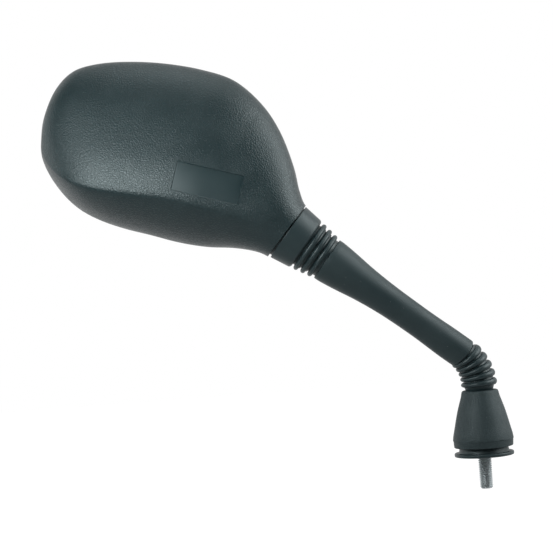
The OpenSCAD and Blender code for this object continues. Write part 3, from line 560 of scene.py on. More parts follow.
def section(k, inset, n_top, n_flank, n_front):
    """Section of the head across rung k, as (across, y, along)."""
    upper, lower = rail(k, 1, inset), rail(k, -1, inset)
    mid, half = (upper + lower) / 2, (upper - lower) / 2
    body = held(curve(FRONT_SHARE, min(k, 5)))
    ridge = held(curve(RIDGE_SHARE, k))
    c = float(curve(RIDGE_PLACE, k))
    y0 = OUTLINE_Y * body
    end = max(float(curve(FRONT_SHARE, k)), 0) if k > 5 else 1.0
    depth = (NECK_R + (SHELL_DEPTH - NECK_R) * float(curve(SWELL_SHARE, k))) \
        * float(curve(CLOSE_SHARE, k))
    front = (NECK_R + (RIM_Y - NECK_R) * body - y0) * end
    if inset > 0:
        depth = max(depth - inset * 1.1, depth * 0.4)
        front = max(front - inset, front * 0.4)
    back = np.concatenate([1 - (1 - c) * eased(n_top),
                           (-1 + (1 + c) * (1 - np.cos(math.pi * np.arange(n_flank, 0, -1)
                                                       / n_flank)) / 2)])
    face = -np.cos(math.pi * np.arange(n_front) / n_front)
    f = (1 - ridge) * round_back(back) + ridge * ridged_back(back, c)
    g = (1 - body) * round_back(face) \
        + body * np.sqrt(np.maximum(1 - np.abs(face) ** RIM_POWER, 0))
    a = np.concatenate([back, face])
    y = np.concatenate([y0 - depth * f, y0 + front * g])
    return np.stack([mid[0] + half[0] * a, y, mid[1] + half[1] * a], 1)


def glass_outline(inset, step=0.1):
    """Outline of the glass opening moved in from the edges, as (across, along)."""
    a, b = rail(GLASS_FROM, 1, inset), rail(GLASS_FROM, -1, inset)
    wa = unit(a - rail(GLASS_FROM + 0.3, 1, inset))
    wb = unit(b - rail(GLASS_FROM + 0.3, -1, inset))
    reach = np.linalg.norm(a - b) * 0.62
    rungs = np.arange(GLASS_FROM, TIP_AT - 1e-6, step)
    points = [rail(k, 1, inset) for k in rungs]
    points.append((rail(TIP_AT, 1, inset) + rail(TIP_AT, -1, inset)) / 2)
    points += [rail(k, -1, inset) for k in rungs[::-1]]
    for s in np.linspace(0, 1, 42)[1:-1]:
        points.append((1 - s) ** 3 * b + 3 * (1 - s) ** 2 * s * (b + wb * reach)
                      + 3 * (1 - s) * s * s * (a + wa * reach) + s ** 3 * a)
    return even_loop(np.array(points), 300)


def even_loop(points, count):
    """A closed outline with its points an even distance apart, lightly smoothed."""
    loop = np.vstack([points, points[:1]])
    run = np.concatenate([[0], np.cumsum(np.linalg.norm(np.diff(loop, axis=0), axis=1))])
    at = np.linspace(0, run[-1], count + 1)[:-1]
    loop = np.stack([np.interp(at, run, loop[:, i]) for i in range(2)], 1)
    for _ in range(6):
        loop = 0.5 * loop + 0.25 * (np.roll(loop, 1, 0) + np.roll(loop, -1, 0))
    return loop


def flat_ring(outline, y):
    return np.stack([outline[:, 0], np.full(len(outline), y), outline[:, 1]], 1)


def head_place(points):
    return from_stem(points, NECK_AT)


def along_y(outline, place):
    """Points and faces of an outline of (r, y) turned about a line along Y at (across, along)."""
    points, faces = turned(outline, 32)
    return np.stack([points[:, 0] + place[0], points[:, 2], points[:, 1] + place[1]], 1), faces


def shell_rungs():
    """Rungs of the head, closer together towards its tip."""
    body = np.linspace(0, 11.5, 104)
    tip = TIP_AT - 1.5 * (1 - np.linspace(0, 1, 34)[1:-1]) ** 1.7
    return np.concatenate([body, tip, [TIP_AT - 0.004]])


def back_surface(points, faces):
    """Finds the shell's y at a place (across, along) on its back."""
    tree = BVHTree.FromPolygons([Vector(p) for p in points], faces)

    def y_at(across, along):
        hit = tree.ray_cast(Vector((across, -80, along)), Vector((0, 1, 0)))[0]
        return hit.y
    return y_at


def recess_cutter(y_at):
    """A shallow pocket whose floor follows the shell's back, with slanting sides."""
    turn = math.radians(RECESS_TURN)
    u = np.array([math.cos(turn), math.sin(turn)])
    v = np.array([-math.sin(turn), math.cos(turn)])
    columns, rows = 48, 22
    length, height = RECESS_SIZE

    def sheet(grow, sink):
        rows_out = []
        for t in np.linspace(-0.5, 0.5, rows):
            for s in np.linspace(-0.5, 0.5, columns):
                p = np.array(RECESS_MID) + u * s * (length + 2 * grow) \
                    + v * t * (height + 2 * grow)
                rows_out.append((p[0], y_at(*p) + sink, p[1]))
        return rows_out

    floor = sheet(0, RECESS_DEPTH)
    mouth = sheet(RECESS_SLANT * 3, -RECESS_DEPTH * 2)
    points = floor + mouth
    size = rows * columns
    faces = []
    for i in range(rows - 1):
        for j in range(columns - 1):
            a = i * columns + j
            faces.append((a, a + 1, a + columns + 1, a + columns))
            faces.append(tuple(size + q for q in (a, a + columns, a + columns + 1, a + 1)))
    edge = [j for j in range(columns)] + [i * columns + columns - 1 for i in range(1, rows)] \
        + [(rows - 1) * columns + j for j in range(columns - 2, -1, -1)] \
        + [i * columns for i in range(rows - 2, 0, -1)]
    for a, b in zip(edge, edge[1:] + edge[:1]):
        faces.append((a, size + a, size + b, b))
    return points, faces


def opening_cutter():
    """The glass opening, flared at the rim's face so that its edge is rounded."""
    ease = 0.9
    rings = [flat_ring(glass_outline(RIM_W), CARRIER_Y - 0.5),
             flat_ring(glass_outline(RIM_W), RIM_Y - ease)]
    for t in np.linspace(0, math.pi / 2, 7)[1:]:
        rings.append(flat_ring(glass_outline(RIM_W - ease * (1 - math.cos(t))),
                               RIM_Y - ease + ease * math.sin(t)))
    rings.append(flat_ring(glass_outline(RIM_W - ease), RIM_Y + 4))
    return lofted(rings)


def boss_parts():
    """Screw bosses that stay in the shell's hollow."""
    parts = []
    low = OUTLINE_Y - SHELL_DEPTH
    for (across, along), top in [(p, CARRIER_Y - 2) for p in CARRIER_HOLES] \
            + [(p, BRACKET_BOSS_TOP) for p in BRACKET_HOLES]:
        parts.append(along_y(rounded([(0, low, 0), (4.8, low, 0), (3.8, top, 0.4), (0, top, 0)]),
                             (across, along)))
    return joined(parts)


def pilot_parts():
    """Pilot holes of the screws in their bosses."""
    parts = []
    for (across, along), top, deep in [(p, CARRIER_Y, 11) for p in CARRIER_HOLES] \
            + [(p, BRACKET_FACE, 6.5) for p in BRACKET_HOLES]:
        parts.append(along_y(rounded([(0, top - deep, 0), (1.7, top - deep, 0), (1.7, top + 1, 0),
                                      (0, top + 1, 0)]), (across, along)))
    return joined(parts)


def neck_tilt(across):
    """How far the slanted mouth of the neck lies above its mean height."""
    return 0.1 - NECK_SLANT * across / NECK_R


def cut_shape(obj, name, shape, finish, **how):
    """Cuts (points, faces) in the head's frame from an object."""
    points, faces = shape
    return cut(obj, make(name, head_place(points), faces, finish), **how)


def head_casing():
    """The grained shell: a hollow loft with its glass opening, bore, bosses, recess and speck."""
    sections = [section(k, 0, 46, 30, 60) for k in shell_rungs()]
    points, faces = lofted(sections)
    # The neck's mouth runs a little further down on the upper side
    points[:, 2] += np.clip(1 - points[:, 2] / 9, 0, 1) * neck_tilt(points[:, 0])
    y_at = back_surface(points, faces)
    casing = make("head_casing", head_place(points), faces, GRAINED)

    hollow_rungs = np.concatenate([np.linspace(0.5, 12.2, 60), [12.35, 12.5, 12.65]])
    points, faces = lofted([section(k, SHELL_WALL, 22, 12, 24) for k in hollow_rungs])
    hollow = make("hollow", head_place(points), faces, INSIDE)
    cut_shape(hollow, "bosses", boss_parts(), INSIDE, own_overlaps=True)
    cut(casing, hollow)
    cut_shape(casing, "opening", opening_cutter(), GRAINED)
    cut_shape(casing, "bore", turned(rounded([
        (0, -1, 0), (NECK_BORE_R, -1, 0), (NECK_BORE_R, NECK_BORE_DEEP, 0),
        (0, NECK_BORE_DEEP, 0)])), INSIDE)
    cut_shape(casing, "pilots", pilot_parts(), INSIDE)
    cut_shape(casing, "recess", recess_cutter(y_at), RECESS)
    y = y_at(*SPECK_AT)
    cut_shape(casing, "speck", along_y(rounded([
        (0, y - 1, 0), (0.75, y - 1, 0), (0.45, y + 0.5, 0.2), (0, y + 0.5, 0)]), SPECK_AT),
        INSIDE)
    finish_mesh(casing, 32)
    rides(casing, "head", "head_shell")


def mirror_face():
    """Convex glass with a ground edge, from rings that shrink towards its middle."""
    outline = glass_outline(RIM_W + GLASS_GAP)
    top, thick, chamfer = RIM_Y - 0.8, 2, 0.35

    def sag(loop):
        flat = np.linalg.norm(loop - GLASS_MIDDLE, axis=1)
        return GLASS_RADIUS - np.sqrt(GLASS_RADIUS ** 2 - flat ** 2)

    def ring(share, drop):
        loop = GLASS_MIDDLE + (outline - GLASS_MIDDLE) * share
        return np.stack([loop[:, 0], top - drop - sag(loop), loop[:, 1]], 1)

    inner = 1 - chamfer / 55
    shares = list(inner * np.linspace(0, 1, 26)[1:])
    rings = [ring(s, 0) for s in shares] + [ring(1, chamfer), ring(1, thick - chamfer)] \
        + [ring(s, thick) for s in shares[::-1]]
    count = len(outline)
    points = np.concatenate(rings + [ring(0, 0)[:1], ring(0, thick)[:1]])
    faces = grid_faces(len(rings), count, False)
    first, last = len(rings) * count, len(rings) * count + 1
    for j in range(count):
        faces.append((j, first, (j + 1) % count))
        base = (len(rings) - 1) * count
        faces.append((base + j, base + (j + 1) % count, last))
    glass = make("mirror_face", head_place(points), faces, MIRROR, GROUND_EDGE)
    for face in glass.data.polygons:
        if abs(face.normal.y) < 0.9:
            face.material_index = 1
    rides(glass, "head", "mirror_glass")


# Collar and bellows at the ball

def ball_place(points):
    return from_stem(points, BALL_AT)


COLLAR_LOW_R = 16.45
COLLAR_TOP_R = 18.15
COLLAR_STEP_R = 16.7
COLLAR_STEP_TO = 21.05


def neck_collar():
    """Collar against the head's neck, a little closer to it on the upper side."""
    low = COLLAR_TO - COLLAR_LEN
    outline = rounded([
        (10.66, 18.4, 0), (10.66, low + 0.3, 0.2), (11.4, low, 0.2), (COLLAR_LOW_R, low, 1.9),
        (COLLAR_TOP_R, COLLAR_TO, 0.45), (COLLAR_STEP_R, COLLAR_TO, 0.1),
        (COLLAR_STEP_R, COLLAR_STEP_TO, 0.1), (12.9, COLLAR_STEP_TO, 0.1), (12.9, 20.4, 0)], 7)
    points, faces = turned(outline, 160)
    outer = np.hypot(*points[:, :2].T) > COLLAR_STEP_R + 0.05
    near = np.clip((points[:, 2] - low - 2) / 9, 0, 1) * outer
    points[:, 2] += near * (0.1 - 0.15 * points[:, 0] / COLLAR_TOP_R)
    step = points[:, 2] > COLLAR_STEP_TO - 0.1
    points[step, 2] += neck_tilt(points[step, 0])
    rides(make("neck_collar", ball_place(points), faces, RUBBER), "head",
          "upper_boot")


PLEAT_PLACES = [-4.2, 0.2, 4.6]
PLEAT_TOPS = [14.5, 15.3, 16.05]
PLEAT_STOPS = [-7.4, -2.0, 2.4, 7.5]
PLEAT_WALL = 3.0


def pleat_outline(place, top, low, high):
    """One round pleat of a bellows, with half a groove at each end."""
    wide, deep = 1.55, 2.1
    outline = [(top - deep - 0.2, low, 0), (top - deep - 0.15, place - wide - 0.25, 0)]
    for turn in np.linspace(0, math.pi, 25):
        outline.append((top - deep + deep * math.sin(turn) ** 0.8,
                        place - wide * math.cos(turn), 0))
    return outline + [(top - deep - 0.15, place + wide + 0.25, 0), (top - deep - 0.2, high, 0)]


def ball_pleats():
    """Three round pleats, each across one of the ball's three hinges."""
    bodies = ["arm", "ball_ring", "ball_cup", "head"]
    for i, name in enumerate(["ball_pleat_low", "ball_pleat_mid", "ball_pleat_high"]):
        low, high = PLEAT_STOPS[i], PLEAT_STOPS[i + 1]
        outside = pleat_outline(PLEAT_PLACES[i], PLEAT_TOPS[i], low, high)
        inside = [(PLEAT_TOPS[i] - PLEAT_WALL, h, 0) for h in np.linspace(high, low, 12)]
        points, faces = turned(np.array(outside + inside)[:, :2], 144)
        bends(make(name, ball_place(points), faces, RUBBER), bodies[i], bodies[i + 1],
              *ball_place([(0, 0, low), (0, 0, high)]), "upper_boot")


# Stem sleeve

SLEEVE_SIDE = [(9.15, -0.1), (9.25, 0), (9.3, 0.11), (9.017, 0.22), (8.9, 0.34), (9.3, 0.54),
               (10.5, 0.71), (12.5, 0.87), (13.4, 0.96), (13.45, 1), (13.4, 1.1)]
SLEEVE_LEN = BALL_AT - 7.5 - SLEEVE_FROM
SLEEVE_WALL = 2.8
SLEEVE_BOW = 0.45


def end_slope(points):
    """How far the sleeve's slanted lower end rises at (across, y) places."""
    return points[:, 1] * math.tan(math.radians(END_LEAN)) - points[:, 0] * 0.07 - 0.3


def stem_sleeve():
    """The tapered sleeve, with a slanted lower end and a hollow at its top."""
    places = np.array([curve(SLEEVE_SIDE, t) for t in np.linspace(0.02, 7.98, 120)])
    outside = [(r, s * SLEEVE_LEN, 0) for r, s in places]
    low_r, top_r = places[0][0], places[-1][0]
    outline = [(5, 0, 0.2), (low_r, 0, 0.9)] + outside[2:-2] \
        + [(top_r, SLEEVE_LEN, 1.0), (top_r - SLEEVE_WALL, SLEEVE_LEN, 0.2)]
    for t in np.linspace(7.6, 5, 16):
        r, s = curve(SLEEVE_SIDE, t)
        outline.append((r - SLEEVE_WALL, s * SLEEVE_LEN, 0))
    outline += [(4, outline[-1][1] - 8, 0), (4, 3.2, 0), (6, 3, 0.2), (6, 0.4, 0)]
    points, faces = turned(rounded(outline), 144)
    near = np.clip(1 - points[:, 2] / 9, 0, 1)
    points[:, 2] += end_slope(points) * near ** 2 * (3 - 2 * near)
    # The real sleeve bows a little towards its upper side
    points[:, 0] += SLEEVE_BOW * np.sin(math.pi * np.clip(points[:, 2] / SLEEVE_LEN, 0, 1)) ** 2
    sleeve = make("stem_sleeve", from_stem(points, SLEEVE_FROM), faces, SATIN)
    rides(sleeve, "arm", "arm_sleeve")


# Bellows at the knuckle

SLEEVE_FOOT = np.array([-SLEEVE_FROM * math.sin(math.radians(STEM_LEAN)),
                        STEM_START + SLEEVE_FROM * math.cos(math.radians(STEM_LEAN))])
BEND_RISE = SLEEVE_FOOT[1] - CONE_TOP
BEND_ANGLE = 2 * math.atan2(-SLEEVE_FOOT[0], BEND_RISE)
BEND_R = BEND_RISE / math.sin(BEND_ANGLE)
LOW_PLEATS = 5
LOW_GROOVE = 1.9


def bend_point(u):
    """Middle of the bellows, from the cone (0) to the sleeve (1)."""
    out = 0.7 * math.sin(math.pi * held(u) ** 1.1) + 0.4 * held(u)
    return np.array([-BEND_R * (1 - math.cos(BEND_ANGLE * u)) - 0.25 + out, 0,
                     CONE_TOP + BEND_R * math.sin(BEND_ANGLE * u)])


def boot_ring(u, r, sides=112):
    """A ring of the bellows, turned with the bend and the sleeve's slanted end."""
    tilt = math.radians(END_TILT * max(u, 0) ** 1.2)
    lean = math.radians(END_LEAN * max(u, 0) ** 1.5)
    right = np.array([math.cos(tilt), 0, math.sin(tilt)])
    up = np.array([-math.sin(tilt), 0, math.cos(tilt)])
    back = math.cos(lean) * SIDE + math.sin(lean) * up
    a = np.arange(sides) * 2 * math.pi / sides
    return bend_point(u) + r * (np.cos(a)[:, None] * right + np.sin(a)[:, None] * back)


def boot_core(u):
    """Radius at the bottom of the grooves."""
    return 10.85 - 0.95 * held(u) - LOW_GROOVE


def boot_rings():
    """Rings of round pleats with narrow grooves, as (place on the bend, radius)."""
    out = []
    for i in range(LOW_PLEATS):
        mid, half = 0.17 + 0.178 * i, 0.07
        for turn in np.linspace(0, math.pi, 21):
            out.append((mid - half * math.cos(turn), boot_core(mid)
                        + LOW_GROOVE * math.sin(turn) ** 0.8))
    return out


def knuckle_bellows():
    """The bellows over the knuckle, bent from the cone's axis to the stem's."""
    last = 0.995
    rings = [boot_ring(-0.1, 7.9), boot_ring(0.0, 7.9), boot_ring(0.03, 8.3)]
    rings += [boot_ring(u, r) for u, r in boot_rings()]
    rings += [boot_ring(last, boot_core(last)), boot_ring(last + 0.004, boot_core(last) - 0.3)]
    rings += [boot_ring(u, boot_core(u) - 0.7) for u in np.linspace(last, 0.1, 24)]
    rings += [boot_ring(u, 7.0) for u in (0.04, -0.1)]
    points = np.concatenate(rings)
    faces = grid_faces(len(rings), len(rings[0]), True)
    bends(make("knuckle_bellows", from_foot(points), faces, RUBBER), "base", "arm",
          *from_foot([(0, 0, CONE_TOP), bend_point(1.0)]), "lower_boot")


# Base cone and foot

CONE_SIDE = [(17.95, 7.0), (17.86, 9.6), (17.4, 12.6), (16.6, 16.0), (14.15, 26.2), (11.4, 35.0),
             (10.7, 37.8)]
CONE_LEDGE = 9.3
CONE_WALL = 2
CONE_SEAM = math.radians(192)


def cone_cover():
    """Moulded cover with a shallow ledge at its foot and a faint mould line down each side."""
    outside = [tuple(curve(CONE_SIDE, t)) for t in np.linspace(0.02, 3.96, 60)]
    outline = [(13.0, 9.2, 0.2), (15.0, 9.2, 0.3), (15.0, CONE_LOW + 0.5, 0.3),
               (15.3, CONE_LOW, 0.2), (17.35, CONE_LOW, 0.5), (17.62, CONE_LEDGE, 0.1),
               (17.84, CONE_LEDGE + 0.1, 0.1)]
    outline += [(r, h, 0) for r, h in outside if CONE_LEDGE + 0.3 < h < 37.2]
    outline += [(10.62, CONE_TOP, 1.1), (8.2, CONE_TOP, 0.3), (8.2, CONE_TOP - 2.2, 0.2),
                (9.0, CONE_TOP - 3, 0.3)]
    outline += [(r - CONE_WALL, h, 0) for r, h in outside[::-6] if 12.0 < h < 35.0]
    outline += [(13.0, 10.7, 0.2)]
    points, faces = turned(rounded(outline), 256)
    for side in (CONE_SEAM, CONE_SEAM - math.pi):
        angle = np.abs((np.arctan2(points[:, 1], points[:, 0]) - side + math.pi)
                       % (2 * math.pi) - math.pi)
        r = np.hypot(points[:, 0], points[:, 1])
        ridge = 0.13 * np.exp(-(angle * r / 0.28) ** 2) * (r > 10.2)
        points[:, :2] *= (1 + ridge / np.maximum(r, 1))[:, None]
    rides(make("cone_cover", from_foot(points), faces, CONE), "base",
          "base_cone")


def foot_flange():
    """The rubber flange, with a lip that stands up inside the cone."""
    outline = rounded([
        (4.3, 0.0, 0.15), (17.5, 0.0, 0.55), (17.5, 2.0, 0.6), (14.8, 2.05, 0.4), (14.4, 5.0, 0.25),
        (13.1, 5.0, 0.15), (13.1, 2.0, 0.1), (4.3, 2.0, 0.1)])
    points, faces = turned(outline, 160)
    rides(make("foot_flange", from_foot(points), faces, FOOT), "foot",
          "foot_gasket")


# Geometry Nodes pieces

def geometry_group(name, inputs):
    tree = bpy.data.node_groups.new(name, "GeometryNodeTree")
    tree.interface.new_socket("Geometry", in_out="INPUT", socket_type="NodeSocketGeometry")
    for label, kind, value in inputs:
        socket = tree.interface.new_socket(label, in_out="INPUT", socket_type=kind)
        if value is not None:
            socket.default_value = value
    tree.interface.new_socket("Geometry", in_out="OUTPUT", socket_type="NodeSocketGeometry")
    return tree, tree.nodes.new("NodeGroupInput"), tree.nodes.new("NodeGroupOutput")


def geometry_end(tree, geometry, chosen, out):
    """Ends a tree in Realize Instances and Set Material."""
    real = add(tree, "GeometryNodeRealizeInstances", {"Geometry": geometry})
    painted = add(tree, "GeometryNodeSetMaterial", {"Geometry": real.outputs[0],
                                                    "Material": chosen})
    tree.links.new(painted.outputs[0], out.inputs[0])


def run_tree(obj, tree, values):
    """Runs a tree on an object with its inputs set by their identifiers."""
    step = obj.modifiers.new("made", "NODES")
    step.node_group = tree
    for item in tree.interface.items_tree:
        if item.item_type == "SOCKET" and item.in_out == "INPUT" and item.name in values:
            step[item.identifier] = values[item.name]
    obj.update_tag()
    return finish_mesh(evaluated(obj), 30)


def thread_tree():
    """A threaded rod: a grid of angle and height wound into one skin, with closed ends."""
    tree, given, out = geometry_group("threaded_rod", [
        ("Radius", "NodeSocketFloat", 0.004), ("Depth", "NodeSocketFloat", 0.0007),
        ("Pitch", "NodeSocketFloat", 0.00125), ("Length", "NodeSocketFloat", 0.0195),
        ("Chamfer", "NodeSocketFloat", 0.001), ("Closing", "NodeSocketFloat", 0.0004),
        ("Around", "NodeSocketInt", 96), ("Along", "NodeSocketInt", 330),
        ("Material", "NodeSocketMaterial", None)])

    def m(operation, *values, clamp=False):
        return math_node(tree, operation, *values, clamp=clamp)

    g = given.outputs
    tall = m("ADD", g["Length"], m("MULTIPLY", g["Closing"], 2.0))
    grid = add(tree, "GeometryNodeMeshGrid", {"Size X": 2 * math.pi, "Size Y": tall,
                                              "Vertices X": g["Around"], "Vertices Y": g["Along"]})
    place = add(tree, "ShaderNodeSeparateXYZ", {0: add(
        tree, "GeometryNodeInputPosition").outputs[0]})
    angle = place.outputs[0]
    raw = m("SUBTRACT", place.outputs[1], m("MULTIPLY", g["Length"], 0.5))
    below = m("DIVIDE", m("SUBTRACT", m("MULTIPLY", g["Length"], -1.0), raw), g["Closing"],
              clamp=True)
    above = m("DIVIDE", raw, g["Closing"], clamp=True)
    height = m("MINIMUM", m("MAXIMUM", raw, m("MULTIPLY", g["Length"], -1.0)), 0.0)
    turns = m("SUBTRACT", m("DIVIDE", height, g["Pitch"]), m("DIVIDE", angle, 2 * math.pi))
    wave = m("ABSOLUTE", m("SUBTRACT", m("MULTIPLY", m("FRACT", turns), 2.0), 1.0))
    wave = m("DIVIDE", m("SUBTRACT", wave, 0.12), 0.70, clamp=True)
    wave = m("SUBTRACT", 1.0, m("POWER", m("SUBTRACT", 1.0, wave), 1.15))
    radius = m("SUBTRACT", g["Radius"], m("MULTIPLY", g["Depth"], m("SUBTRACT", 1.0, wave)))
    tip = m("ADD", m("SUBTRACT", g["Radius"], g["Chamfer"]), m("ADD", height, g["Length"]))
    radius = m("MINIMUM", radius, tip)
    radius = m("MULTIPLY", radius, m("SUBTRACT", 1.0, below))
    radius = m("MULTIPLY", radius, m("SUBTRACT", 1.0, above))
    wound = add(tree, "ShaderNodeCombineXYZ", {0: m("MULTIPLY", radius, m("COSINE", angle)),
                                               1: m("MULTIPLY", radius, m("SINE", angle)),
                                               2: height})
    moved = add(tree, "GeometryNodeSetPosition", {"Geometry": grid.outputs["Mesh"],
                                                  "Position": wound.outputs[0]})
    closed = add(tree, "GeometryNodeMergeByDistance", {"Geometry": moved.outputs[0],
                                                       "Distance": 1e-6})
    geometry_end(tree, closed.outputs[0], g["Material"], out)
    return tree


# The fixing stud's M8 thread, in millimetres
THREAD_R = 4
THREAD_DEPTH = 0.72
THREAD_PITCH = 1.25
THREAD_LEN = 19.5
THREAD_CHAMFER = 0.95


def threaded_stud():
    """The stud's thread below the foot, and the turned shoulder and post inside the base."""
    thread = run_tree(bare("threaded_stud"), thread_tree(), {
        "Radius": THREAD_R * MM, "Depth": THREAD_DEPTH * MM, "Pitch": THREAD_PITCH * MM,
        "Length": THREAD_LEN * MM, "Chamfer": THREAD_CHAMFER * MM, "Closing": 0.4 * MM,
        "Around": 97, "Along": 331, "Material": STUD})
    outline = rounded([
        (0, -0.6, 0), (3.2, -0.6, 0), (4.2, 0.1, 0.1), (4.2, 2.2, 0.1), (13, 2.2, 0.25),
        (13, 4.8, 0.25), (5, 4.8, 0.1), (5, 9.8, 0.3), (3, 9.8, 0), (3, 19.1, 0.5), (0, 19.1, 0)])
    points, faces = turned(outline, 96)
    upper = make("stud_upper", from_foot(points), faces, STUD)
    bm = bmesh.new()
    bm.from_mesh(thread.data)
    bm.from_mesh(upper.data)
    bm.to_mesh(thread.data)
    bm.free()
    bpy.data.objects.remove(upper)
    thread.data.set_sharp_from_angle(angle=math.radians(30))
    rides(thread, "foot", "mount_stud")


def screw_tree():
    """The same screw at each point of a mesh, all turned one way."""
    tree, given, out = geometry_group("screw_set", [
        ("Screw", "NodeSocketObject", None), ("Turn", "NodeSocketRotation", (0, 0, 0)),
        ("Material", "NodeSocketMaterial", None)])
    g = given.outputs
    screw = add(tree, "GeometryNodeObjectInfo", {"Object": g["Screw"]})
    placed = add(tree, "GeometryNodeInstanceOnPoints", {
        "Points": g["Geometry"], "Instance": screw.outputs["Geometry"], "Rotation": g["Turn"]})
    geometry_end(tree, placed.outputs[0], g["Material"], out)
    return tree


def screw_piece(outline):
    """A screw along Z with a cross recess in its head, as an object at the origin."""
    points, faces = turned(rounded(outline, 4), 32)
    screw = make("screw", points * MM, faces, ZINC)
    wide, thin, deep = 1.5, 0.28, 1.1
    blades = []
    for a, b, taper in ((wide, thin, (0.45, 1)), (thin, wide, (1, 0.45))):
        corners = [(-a, -b), (a, -b), (a, b), (-a, b)]
        box = [(x, y, 1) for x, y in corners] \
            + [(x * taper[0], y * taper[1], -deep) for x, y in corners]
        blades.append((np.array(box), [(0, 1, 2, 3), (7, 6, 5, 4), (0, 4, 5, 1), (1, 5, 6, 2),
                                       (2, 6, 7, 3), (3, 7, 4, 0)]))
    points, faces = joined(blades)
    return cut(screw, make("blades", points * MM, faces, ZINC), own_overlaps=True)


def screw_sets():
    """Countersunk screws of the glass carrier and pan head screws of the bracket."""
    tree = screw_tree()
    sink = [(0, 0, 0), (3, 0, 0), (1.5, -1.5, 0), (1.5, -8.2, 0.3), (1.0, -9, 0.1), (0, -9, 0)]
    pan = [(0, 0, 0), (2.4, 0, 0.5), (3, -0.6, 0.3), (3, -1.8, 0.1), (1.5, -1.8, 0),
           (1.5, -7.2, 0.3), (1.0, -7.8, 0.1), (0, -7.8, 0)]
    for name, outline, holes, y, node in (
            ("carrier_screw_set", sink, CARRIER_HOLES, CARRIER_Y, "carrier_screws"),
            ("bracket_screw_set", pan, BRACKET_HOLES, BRACKET_FACE + 1.8, "socket_screws")):
        screw = screw_piece(outline)
        places = head_place([(across, y, along) for across, along in holes])
        turn = (math.radians(-90), 0, 0)
        screws = run_tree(bare(name, places), tree, {
            "Screw": screw, "Turn": turn, "Material": ZINC})
        bpy.data.objects.remove(screw)
        rides(screws, "head", node)


# Finishes of the CAD pieces that stay

def paint(node, finish):
    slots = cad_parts[node].data.materials
    slots.clear()
    slots.append(finish)


def paint_cad_nodes():
    for node in ("swivel_washer", "knuckle_washers", "sleeve_bush", "seat_ring", "seat_cup"):
        paint(node, NYLON)
    for node in ("swivel_nut", "knuckle_rivet", "stem_rod", "stem_ball", "socket_plug"):
        paint(node, ZINC)
    for node in ("disc_springs", "socket_spring"):
        paint(node, SPRING)
    for node in ("swivel_yoke", "neck_socket"):
        paint(node, CAST)
    paint("glass_carrier", INSIDE)
    paint("foam_pad", FOAM)


# Stage

FLOOR_Z = -0.16
FLOOR_HALF = 3
ROOM_LEVEL = 0.03
FILL_SHARE = 0.8
STUDIO_MIDDLE = Vector((-0.12, 0.0, 0.13))
BRIGHT_SPOT = Vector((-0.195, -0.02, 0.187))
CAMERA_AT = (-0.1147, -1.0, 0.1141)
CAMERA_ROLL = 4.2
LENS_MM = 110.3
LAMPS = [
    # name, aim, azimuth (0 is the camera's side), elevation, distance, size, watts
    ("key", BRIGHT_SPOT, -8, 8, 0.25, 0.14, 0.62),
    ("left_key", BRIGHT_SPOT, -42, 10, 0.25, 0.14, 0.33),
    ("front_softbox", STUDIO_MIDDLE, -30, 32, 1.15, 0.5, 2.2),
    ("left_softbox", STUDIO_MIDDLE, -95, 15, 1.1, 0.7, 1.5),
    ("right_softbox", STUDIO_MIDDLE, 82, 26, 1.05, 0.95, 11.0),
    ("overhead_softbox", STUDIO_MIDDLE, 40, 82, 1.15, 0.7, 3.2),
]


def soft_lamp(name, aim, azimuth, elevation, distance, size, power):
    light = bpy.data.lights.new(name, "AREA")
    light.shape = "DISK"
    light.size = size
    light.energy = power
    lamp = bpy.data.objects.new(name, light)
    a, e = math.radians(azimuth), math.radians(elevation)
    way = Vector((math.sin(a) * math.cos(e), -math.cos(a) * math.cos(e), math.sin(e)))
    lamp.location = aim + distance * way
    lamp.rotation_euler = way.to_track_quat("Z", "Y").to_euler()
    lamp.visible_camera = False
    bpy.context.scene.collection.objects.link(lamp)


def ray_kinds(tree):
    """Whether a ray comes from the camera, and whether it was reflected or transmitted."""
    path = tree.nodes.new("ShaderNodeLightPath").outputs
    return path["Is Camera Ray"], math_node(tree, "MAXIMUM", path["Is Glossy Ray"],
                                            path["Is Transmission Ray"])


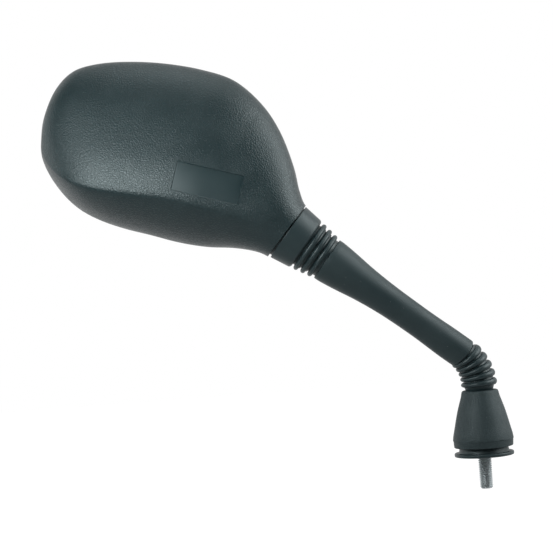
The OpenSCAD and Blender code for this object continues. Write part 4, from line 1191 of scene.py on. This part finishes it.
def studio():
    """Pale floor and room. Both look white to the camera, and to reflections at the back only."""
    scene = bpy.context.scene
    scene.view_settings.view_transform = "Standard"
    world = bpy.data.worlds.new("pale_studio")
    scene.world = world
    world.use_nodes = True
    tree = world.node_tree
    tree.nodes.clear()
    out = tree.nodes.new("ShaderNodeOutputWorld")
    from_camera, mirrored = ray_kinds(tree)
    # The backdrop is white, and the photographer's side of the room is dark
    backdrop = spread(tree, coordinate(tree, "Generated", 1), -0.35, 0.55, ROOM_LEVEL, 1.0, True)
    lit = math_node(tree, "MULTIPLY", backdrop, FILL_SHARE)
    strength = math_node(tree, "MAXIMUM", lit, math_node(tree, "MULTIPLY", backdrop, mirrored))
    strength = math_node(tree, "MAXIMUM", strength, from_camera)
    glow = add(tree, "ShaderNodeBackground", {"Color": (1, 1, 1, 1), "Strength": strength})
    tree.links.new(glow.outputs[0], out.inputs[0])

    corners = [(-1, -1), (1, -1), (1, 1), (-1, 1)]
    floor = make("floor", [(x * FLOOR_HALF, y * FLOOR_HALF, FLOOR_Z) for x, y in corners],
                 [(0, 1, 2, 3)])
    if floor.data.polygons[0].normal.z < 0:
        floor.data.flip_normals()
    made, tree, shader = material("pale_floor")
    floor.data.materials.append(made)
    tree.nodes.remove(shader)
    out = next(n for n in tree.nodes if n.type == "OUTPUT_MATERIAL")
    from_camera, mirrored = ray_kinds(tree)
    behind = spread(tree, coordinate(tree, "Object", 1), 0.0, 0.6, 0.0, 1.0, True)
    mirrored = math_node(tree, "MULTIPLY", mirrored, behind)
    seen = math_node(tree, "MAXIMUM", from_camera, mirrored)
    plain = add(tree, "ShaderNodeBsdfDiffuse", {"Color": (0.5, 0.5, 0.5, 1)})
    pale = add(tree, "ShaderNodeAddShader", {
        0: add(tree, "ShaderNodeBsdfDiffuse", {"Color": (0.25, 0.25, 0.25, 1)}).outputs[0],
        1: add(tree, "ShaderNodeEmission", {"Strength": 0.93}).outputs[0]})
    mixed = add(tree, "ShaderNodeMixShader", {0: seen, 1: plain.outputs[0], 2: pale.outputs[0]})
    tree.links.new(mixed.outputs[0], out.inputs[0])
    for lamp in LAMPS:
        soft_lamp(*lamp)


def photographer():
    """Camera level with the mirror's middle, a metre off, rolled as in the photograph."""
    data = bpy.data.cameras.new("photographer")
    data.sensor_width = 36
    data.lens = LENS_MM
    camera = bpy.data.objects.new("photographer", data)
    bpy.context.scene.collection.objects.link(camera)
    camera.matrix_world = Matrix.Translation(CAMERA_AT) \
        @ Matrix.Rotation(math.radians(CAMERA_ROLL), 4, "Y") \
        @ Matrix.Rotation(math.radians(90), 4, "X")
    bpy.context.scene.camera = camera


studio()
photographer()
head_casing()
mirror_face()
neck_collar()
ball_pleats()
stem_sleeve()
knuckle_bellows()
cone_cover()
foot_flange()
threaded_stud()
screw_sets()
paint_cad_nodes()
